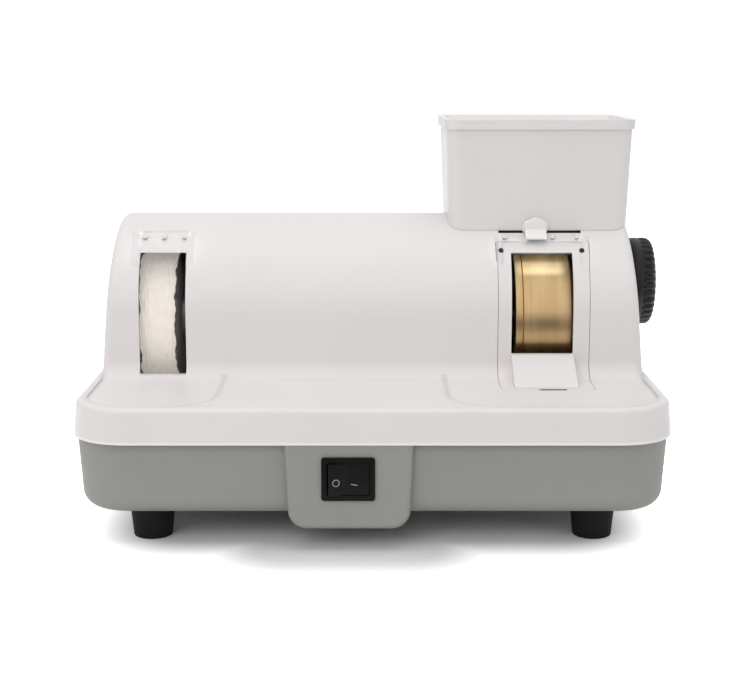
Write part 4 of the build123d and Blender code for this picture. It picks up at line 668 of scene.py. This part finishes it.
PLY_COUNT = 13
PLY_POINTS = 7
PLY_GROOVE = 0.14 * MM
CLOTH_STEPS = 420
CLOTH_SIDE = (0.4, 0.6, 0.75, 0.88)
CLOTH_CROWN = 1.1 * MM
CLOTH_LEAN = 1.2 * MM
CLOTH_HUB = 7.0 * MM

# The plies are loose from this share of the radius to the rim, and worn down by this much there
LOOSE_FROM, LOOSE_SPAN = 0.7, 0.3
RIM_WEAR = 0.3 * MM

# Loose threads: length and depth of the root in millimetres, lean outwards and swing round the wheel
# as shares of the length. They start inside the side's edge and end short of the rim
FRINGE_COUNT = 900
FRINGE_SEED = 7
THREAD_LENGTH = (0.8, 2.6)
THREAD_ROOT = (1.0, 3.0)
THREAD_LEAN = (-0.5, 0.9)
THREAD_SWING = (-1.2, 1.2)
THREAD_POINTS = (0.0, 0.35, 0.7, 1.0)
THREAD_DROOP = 0.4
THREAD_INSET = 1.0 * MM
THREAD_SHORT = 0.2 * MM
THREAD_RADIUS = 0.11 * MM
THREAD_TAPER = 0.6

cloth_low, cloth_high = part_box("buffing_wheel")
cloth_half = (cloth_high.x - cloth_low.x) / 2
cloth_radius = (cloth_high.z - cloth_low.z) / 2


def cloth_wave(angle, seed, size, waves):
    """Smooth random value that closes on itself round the wheel."""
    return noise.noise(Vector((math.cos(angle) * waves, math.sin(angle) * waves, seed))) * size


def cloth_wobble(_, x, radius, angle):
    """Wavers the plies out of true towards the rim, and keeps them inside the wheel."""
    across = (x - POLISH_X) / cloth_half
    outer = max(0.0, (radius / cloth_radius - LOOSE_FROM) / LOOSE_SPAN)
    waver = cloth_wave(angle, 3.1 * round(across), size=2.2 * MM, waves=3.2)
    waver += cloth_wave(angle, 9.0, size=0.9 * MM, waves=11.0)
    rough = cloth_wave(angle, 20 + 7 * across, size=0.5 * MM, waves=7.0)
    rough += cloth_wave(angle, 40 + 23 * across, size=0.2 * MM, waves=40.0)
    return x - CLOTH_LEAN * outer + waver * outer * abs(across) ** 3, radius - abs(RIM_WEAR + rough) * outer


def build_cloth(bm):
    """Stitched plies whose rims part a little, pressed flat by the lenses in the middle."""
    left, right = POLISH_X - cloth_half, POLISH_X + cloth_half
    profile = [(left, CLOTH_HUB)] + [(left, cloth_radius * share) for share in CLOTH_SIDE]
    for ply in range(PLY_COUNT):
        for spot in range(PLY_POINTS):
            across = 2 * (ply + spot / PLY_POINTS) / PLY_COUNT - 1
            crown = CLOTH_CROWN * across ** 6
            groove = PLY_GROOVE * (math.cos(2 * math.pi * spot / PLY_POINTS) * 0.5 + 0.5) ** 3
            profile.append((POLISH_X + across * cloth_half, cloth_radius - crown - groove))
    profile += [(right, cloth_radius * share) for share in reversed(CLOTH_SIDE)] + [(right, CLOTH_HUB)]
    sweep_rings(bm, lathe_rings(profile, SPINDLE, CLOTH_STEPS, cloth_wobble), close_ends=False)


def thread_tube(bm, points, thickness):
    """Thin tapered tube of three sides through some points."""
    rings = []
    for index, point in enumerate(points):
        ahead = points[min(index + 1, len(points) - 1)]
        behind = points[max(index - 1, 0)]
        way = (ahead - behind).normalized()
        side = way.orthogonal().normalized()
        size = thickness * (1 - THREAD_TAPER * index / (len(points) - 1))
        rings.append(circle(point, side, way.cross(side), size, 3))
    sweep_rings(bm, rings)


def build_fringe(bm):
    """Loose threads along both rims of the cloth wheel."""
    draw = random.Random(FRINGE_SEED)
    for _ in range(FRINGE_COUNT):
        side = draw.choice((-1, 1))
        angle = draw.uniform(0, 2 * math.pi)
        length = draw.uniform(*THREAD_LENGTH) * MM
        root_radius = cloth_radius - draw.uniform(*THREAD_ROOT) * MM
        lean = draw.uniform(*THREAD_LEAN)
        swing = draw.uniform(*THREAD_SWING)
        points = []
        for share in THREAD_POINTS:
            reach = root_radius + length * share * (1 - THREAD_DROOP * share)
            radius = min(cloth_radius - THREAD_SHORT, reach)
            x = POLISH_X - CLOTH_LEAN + side * (cloth_half - THREAD_INSET + lean * length * share)
            turn = angle + swing * length * share ** 2 / cloth_radius
            points.append(around(SPINDLE, x, radius, turn))
        thread_tube(bm, points, THREAD_RADIUS)


make_piece("cloth_plies", build_cloth, "buff_cloth", "spindle", ("buffing_wheel",))
make_piece("cloth_fringe", build_fringe, "buff_cloth", "spindle")


# Ribbed side cap

CAP_RIBS = 34
CAP_STEPS_PER_RIB = 12
CAP_DEPTH = 15.2 * MM
CAP_RIBBED = 8.4 * MM
CAP_RIB_DEPTH = 1.7 * MM
CAP_RIB_FORM = 0.4
CAP_EDGE = 4.5 * MM
CAP_PLUG = 22.7 * MM
CAP_DISH = 18.9 * MM
CAP_DISH_DEPTH = 3.0 * MM

cap_low, cap_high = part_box("port_cap")
cap_radius = (cap_high.z - cap_low.z) / 2
cap_face = cap_high.x


def build_cap(bm):
    """Hand cap with rounded ribs round its outer half and a dished face."""
    back = cap_face - CAP_DEPTH
    band = cap_face - CAP_RIBBED
    floor = cap_face - CAP_DISH_DEPTH
    profile = [
        (cap_low.x, CAP_PLUG - 3 * MM),
        (cap_low.x, CAP_PLUG),
        (back, CAP_PLUG),
        (back, cap_radius - 0.9 * MM),
        (back + 0.5 * MM, cap_radius - 0.2 * MM),
        (band - 0.9 * MM, cap_radius),
        (band - 0.3 * MM, cap_radius - 0.5 * MM),
        (band, cap_radius - 0.6 * MM),
    ]
    ribbed_from = len(profile)
    for share in (0.1, 0.25, 0.4):
        profile.append((band + share * CAP_RIBBED, cap_radius))
    for degrees in range(15, 90, 12):
        lean = math.radians(degrees)
        edge_x = cap_face - CAP_EDGE * (1 - math.sin(lean))
        profile.append((edge_x, cap_radius - CAP_EDGE * (1 - math.cos(lean))))
    ribbed_to = len(profile)
    profile += [
        (cap_face, cap_radius - CAP_EDGE - 0.4 * MM),
        (cap_face, CAP_DISH + 0.6 * MM),
        (cap_face - 0.3 * MM, CAP_DISH),
        (floor + 0.4 * MM, CAP_DISH - 2.4 * MM),
        (floor, CAP_DISH - 3.2 * MM),
        (floor, 6.0 * MM),
        (floor, 0.2 * MM),
    ]

    def ribs(index, x, radius, angle):
        if ribbed_from <= index < ribbed_to:
            wave = 0.5 + 0.5 * math.cos(angle * CAP_RIBS)
            fade = min(1.0, (index - ribbed_from + 1) / 2)
            radius -= CAP_RIB_DEPTH * (1 - wave ** CAP_RIB_FORM) * fade
        return x, radius

    sweep_rings(bm, lathe_rings(profile, CAP_CENTRE, CAP_RIBS * CAP_STEPS_PER_RIB, ribs))


make_piece("ribbed_cap", build_cap, "cap_black", "cap", ("port_cap",))


# Screws

SCREW_STEPS = 48
SCREW_ROWS = 16

# Form of a head and its recess, as shares of the head's height and radius.
# The cross is shallower in a flat head, which is no higher than FLAT_HEAD
DOME_FALL = 0.35
EDGE_FROM, EDGE_TOP, EDGE_FALL = 0.92, 0.7, 4.5
CROSS_ARM, CROSS_WIDTH = 0.62, 0.13
CROSS_DEPTH, FLAT_CROSS_DEPTH = 0.55, 0.3
HEX_REACH, HEX_DEPTH = 0.5, 0.6
FLAT_HEAD = 1.0 * MM

# Screws round the barrel, at so many degrees up from its front
GUARD_ANGLE = 51.6
INSERT_ANGLE = 41.9
GUARD_THICKNESS = 1.7 * MM
HEAD_RADIUS = 1.7 * MM
PAN_HEIGHT = 0.5 * MM
SOCKET_HEIGHT = 0.8 * MM
SHANK_RADIUS = 1.0 * MM
SHANK_LENGTH = 4.8 * MM

FOOT_SCREW_SEAT = 8.0 * MM
FOOT_HEAD_RADIUS = 3.9 * MM
FOOT_HEAD_HEIGHT = 3.0 * MM
FOOT_SHANK_RADIUS = 2.0 * MM
FOOT_SHANK_LENGTH = 20.0 * MM


def screw_head(bm, centre, way, radius, height, shank_radius, shank_length, recess="cross"):
    """Pan head with a cross or hex recess on a plain shank, standing out along a way."""
    way = Vector(way).normalized()
    side = way.orthogonal().normalized()
    up = way.cross(side)
    cross_depth = CROSS_DEPTH if height > FLAT_HEAD else FLAT_CROSS_DEPTH

    def lift(share, turn):
        """Height of the head's skin at a share of its radius."""
        dome = height * (1 - DOME_FALL * share ** 2)
        if share > EDGE_FROM:
            dome = height * (EDGE_TOP - EDGE_FALL * (share - EDGE_FROM))
        if recess == "cross":
            along = abs(share * radius * math.cos(turn))
            aside = abs(share * radius * math.sin(turn))
            arm, width = CROSS_ARM * radius, CROSS_WIDTH * radius
            in_arm = (along < arm and aside < width) or (aside < arm and along < width)
            return dome - (cross_depth * height if in_arm else 0.0)
        reach = max(abs(math.cos(turn - k * math.pi / 3)) for k in range(3)) * share * radius
        return dome - (HEX_DEPTH * height if reach < HEX_REACH * radius else 0.0)

    rings = []
    for row in range(1, SCREW_ROWS + 1):
        share = row / SCREW_ROWS
        flat = circle(centre, side, up, share * radius, SCREW_STEPS)
        rings.append([point + way * lift(share, turn) for point, turn in zip(flat, turns(SCREW_STEPS))])
    for out, rise in ((radius, 0.0), (shank_radius, 0.0), (shank_radius, -shank_length)):
        rings.append([point + way * rise for point in circle(centre, side, up, out, SCREW_STEPS)])
    sweep_rings(bm, rings)


def row_of_screws(node, count, spacing, angle, seat, height, recess="cross"):
    """Puts detailed heads where a node's screws are, square to the barrel."""
    way = Vector((0, -math.cos(math.radians(angle)), math.sin(math.radians(angle))))

    def build(bm):
        for index in range(count):
            place = BARREL_CENTRE + way * (BARREL_RADIUS + seat)
            place.x = middle_x(node) + (index - (count - 1) / 2) * spacing
            screw_head(bm, place, way, HEAD_RADIUS, height, SHANK_RADIUS, SHANK_LENGTH, recess)

    return build


# Each row says how many screws it has and how far apart they are
for name, node, finish, row in (
    ("grinding_guard_pans", "grinding_guard_screws", "nylon_white",
     (4, 15.3 * MM, GUARD_ANGLE, GUARD_THICKNESS, PAN_HEIGHT)),
    ("polishing_guard_pans", "polishing_guard_screws", "nylon_white",
     (3, 12.4 * MM, GUARD_ANGLE, GUARD_THICKNESS, PAN_HEIGHT)),
    ("insert_sockets", "insert_screws", "insert_screw_black",
     (2, 51.0 * MM, INSERT_ANGLE, 0.0, SOCKET_HEIGHT, "hex")),
):
    make_piece(name, row_of_screws(node, *row), finish, "machine", (node,))


def build_foot_pans(bm):
    """Pan heads that hold the four feet, seen from below."""
    low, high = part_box("foot_screws")
    middle = (low + high) / 2
    reach = (high - low) / 2
    for side_x in (-1, 1):
        for side_y in (-1, 1):
            x = middle.x + side_x * (reach.x - FOOT_HEAD_RADIUS)
            y = middle.y + side_y * (reach.y - FOOT_HEAD_RADIUS)
            screw_head(
                bm, Vector((x, y, FOOT_SCREW_SEAT)), (0, 0, -1),
                FOOT_HEAD_RADIUS, FOOT_HEAD_HEIGHT, FOOT_SHANK_RADIUS, FOOT_SHANK_LENGTH)


make_piece("foot_pans", build_foot_pans, "screw_steel", "machine", ("foot_screws",))


# Rocker marks

# How far the rocker is tipped at rest, how its two halves slope out from the middle, and
# how far the middle of its face lies in front of its axis
ROCKER_TIP = math.radians(9.0)
FACE_SLOPE = math.atan2(1.6, 11.8)
FACE_DEPTH = 0.6 * MM

MARK_SUNK, MARK_PROUD = -0.05 * MM, 0.12 * MM
OFF_MIDDLE = (-7.3 * MM, -1.6 * MM)
OFF_INNER, OFF_OUTER = 1.65 * MM, 2.15 * MM
OFF_STEPS = 40
ON_CORNERS = ((1.5 * MM, -3.0 * MM), (5.2 * MM, -3.7 * MM), (5.2 * MM, -3.2 * MM), (1.5 * MM, -2.5 * MM))


def rocker_point(along, up, proud):
    """Point on the rocker's face: along its width, up its height and proud of it."""
    face = -(FACE_DEPTH + abs(along) * math.tan(FACE_SLOPE)) - proud
    x = along * math.cos(ROCKER_TIP) - face * math.sin(ROCKER_TIP)
    y = along * math.sin(ROCKER_TIP) + face * math.cos(ROCKER_TIP)
    return Vector((ROCKER_CENTRE.x + x, ROCKER_CENTRE.y + y, ROCKER_CENTRE.z + up))


def build_off_mark(bm):
    """Raised ring for off."""
    middle_along, middle_up = OFF_MIDDLE
    rings = []
    for radius, proud in (
        (OFF_INNER, MARK_SUNK), (OFF_INNER, MARK_PROUD), (OFF_OUTER, MARK_PROUD), (OFF_OUTER, MARK_SUNK),
    ):
        rings.append([
            rocker_point(middle_along + radius * math.cos(turn), middle_up + radius * math.sin(turn), proud)
            for turn in turns(OFF_STEPS)])
    rings.append(rings[0])
    sweep_rings(bm, rings, close_ends=False)


def build_on_mark(bm):
    """Raised short line for on, which lies across the rocker."""
    sunk, proud = ([rocker_point(*corner, rise) for corner in ON_CORNERS] for rise in (MARK_SUNK, MARK_PROUD))
    sweep_rings(bm, [sunk, proud])


make_piece("off_mark", build_off_mark, "mark_grey", "rocker")
make_piece("on_mark", build_on_mark, "mark_grey", "rocker", smooth=False)


# Floor, lights and camera

ROOM_LIGHT = 0.54
PAPER_TONE = (0.86, 0.86, 0.86, 1.0)
FLAG_TONE = (0.03, 0.025, 0.02, 1.0)

# Patches of the floor that keep the shadow: middle and half length along X, then along Y.
# Past a patch the floor turns white over a soft border
SHADOW_PATCHES = ((HOUSING_X, 0.11, 0.01, 0.09), (middle_x("switch_body"), 0.034, -0.05, 0.065))
SHADOW_BORDER = (0.015, 0.08)


def white_to_camera(w, plain, strength):
    """Background or floor light that is white to the camera and in reflections."""
    path = w.node("LightPath")
    seen = w.math("MAXIMUM", path.outputs["Is Camera Ray"], path.outputs["Is Glossy Ray"])
    seen = w.math("MAXIMUM", seen, path.outputs["Is Transmission Ray"])
    return w.math("ADD", plain, w.product(seen, w.math("SUBTRACT", strength, plain)))


def studio_world():
    """Even light from all round, in front of white."""
    world = bpy.data.worlds.new("studio")
    world.use_nodes = True
    world.node_tree.nodes.clear()
    w = Wiring(world.node_tree)
    background = w.node("Background")
    background.inputs["Color"].default_value = (1.0, 1.0, 1.0, 1.0)
    w.join(white_to_camera(w, ROOM_LIGHT, 1.0), background.inputs["Strength"])
    w.join(background.outputs[0], w.node("OutputWorld").inputs["Surface"])
    return world


def floor_paper():
    """White paper that shows the machine's shadow, fades into the background and is clear from below."""
    material, w = empty_material("white floor")
    paper = w.node("BsdfDiffuse")
    paper.inputs["Color"].default_value = PAPER_TONE
    x, y, _ = w.split(w.place())
    distances = []
    for patch_x, half_x, patch_y, half_y in SHADOW_PATCHES:
        past = (w.past(x, patch_x, half_x), w.past(y, patch_y, half_y))
        distances.append(w.length(*(w.math("MAXIMUM", value, 0.0) for value in past)))
    far_off = w.ramp(w.math("MINIMUM", *distances), *SHADOW_BORDER)
    glow = w.node("Emission")
    w.join(white_to_camera(w, 0.0, far_off), glow.inputs["Strength"])
    both = w.node("AddShader")
    w.join(paper.outputs[0], both.inputs[0])
    w.join(glow.outputs[0], both.inputs[1])
    seen_side = w.node("MixShader")
    w.join(w.surface("Backfacing"), seen_side.inputs[0])
    w.join(both.outputs[0], seen_side.inputs[1])
    w.join(w.node("BsdfTransparent").outputs[0], seen_side.inputs[2])
    w.join(seen_side.outputs[0], w.node("OutputMaterial").inputs["Surface"])
    return material


def flat_card(name, corners, material):
    """Sheet of the studio, which isn't part of the machine."""
    mesh = bpy.data.meshes.new(name)
    mesh.from_pydata(corners, [], [(0, 1, 2, 3)])
    mesh.materials.append(material)
    card = bpy.data.objects.new(name, mesh)
    bpy.context.scene.collection.objects.link(card)
    return card


def soft_box(name, place, target, size, power):
    """Rectangular soft light that points at a target."""
    data = bpy.data.lights.new(name, "AREA")
    data.shape = "RECTANGLE"
    data.size, data.size_y = size
    data.energy = power
    lamp = bpy.data.objects.new(name, data)
    lamp.location = place
    lamp.rotation_euler = (Vector(target) - Vector(place)).to_track_quat("-Z", "Y").to_euler()
    lamp.visible_glossy = False
    bpy.context.scene.collection.objects.link(lamp)


bpy.context.scene.world = studio_world()
flat_card("floor", [(-6, -6, 0), (6, -6, 0), (6, 6, 0), (-6, 6, 0)], floor_paper())

# A dark cloth in front of the bench shows only in reflections
flag_cloth = Finish("dark flag")
flag_cloth.set(Base_Color=FLAG_TONE)
for name, corners in (
    ("low_flag", [(-0.8, -1.3, 0.002), (0.9, -1.3, 0.002), (0.9, -0.25, 0.002), (-0.8, -0.25, 0.002)]),
    ("back_flag", [(-0.8, -1.3, 0.0), (0.9, -1.3, 0.0), (0.9, -1.3, 0.24), (-0.8, -1.3, 0.24)]),
):
    flag = flat_card(name, corners, flag_cloth.material)
    for rays in ("camera", "diffuse", "shadow", "transmission"):
        setattr(flag, "visible_" + rays, False)

soft_box("top_light", place=(0.0, -0.15, 1.5), target=(0.0, 0.0, 0.1), size=(1.6, 1.2), power=8.0)
soft_box("front_light", place=(-0.5, -1.5, 1.0), target=(0.0, 0.0, 0.12), size=(1.2, 0.8), power=7.8)

camera_data = bpy.data.cameras.new("camera")
camera_data.sensor_width = SENSOR_WIDTH
camera_data.lens = SENSOR_WIDTH * PHOTO_FOCAL / PHOTO_WIDTH
camera_data.shift_x = AXIS_SHIFT / PHOTO_WIDTH
camera_data.clip_end = 50
camera = bpy.data.objects.new("camera", camera_data)
camera.location = (HOUSING_X, housing_low.y - CAMERA_SETBACK, CAMERA_HEIGHT)
camera.rotation_euler = (math.radians(90 - CAMERA_PITCH), 0, 0)
bpy.context.scene.collection.objects.link(camera)
bpy.context.scene.camera = camera
bpy.context.scene.view_settings.view_transform = "Standard"
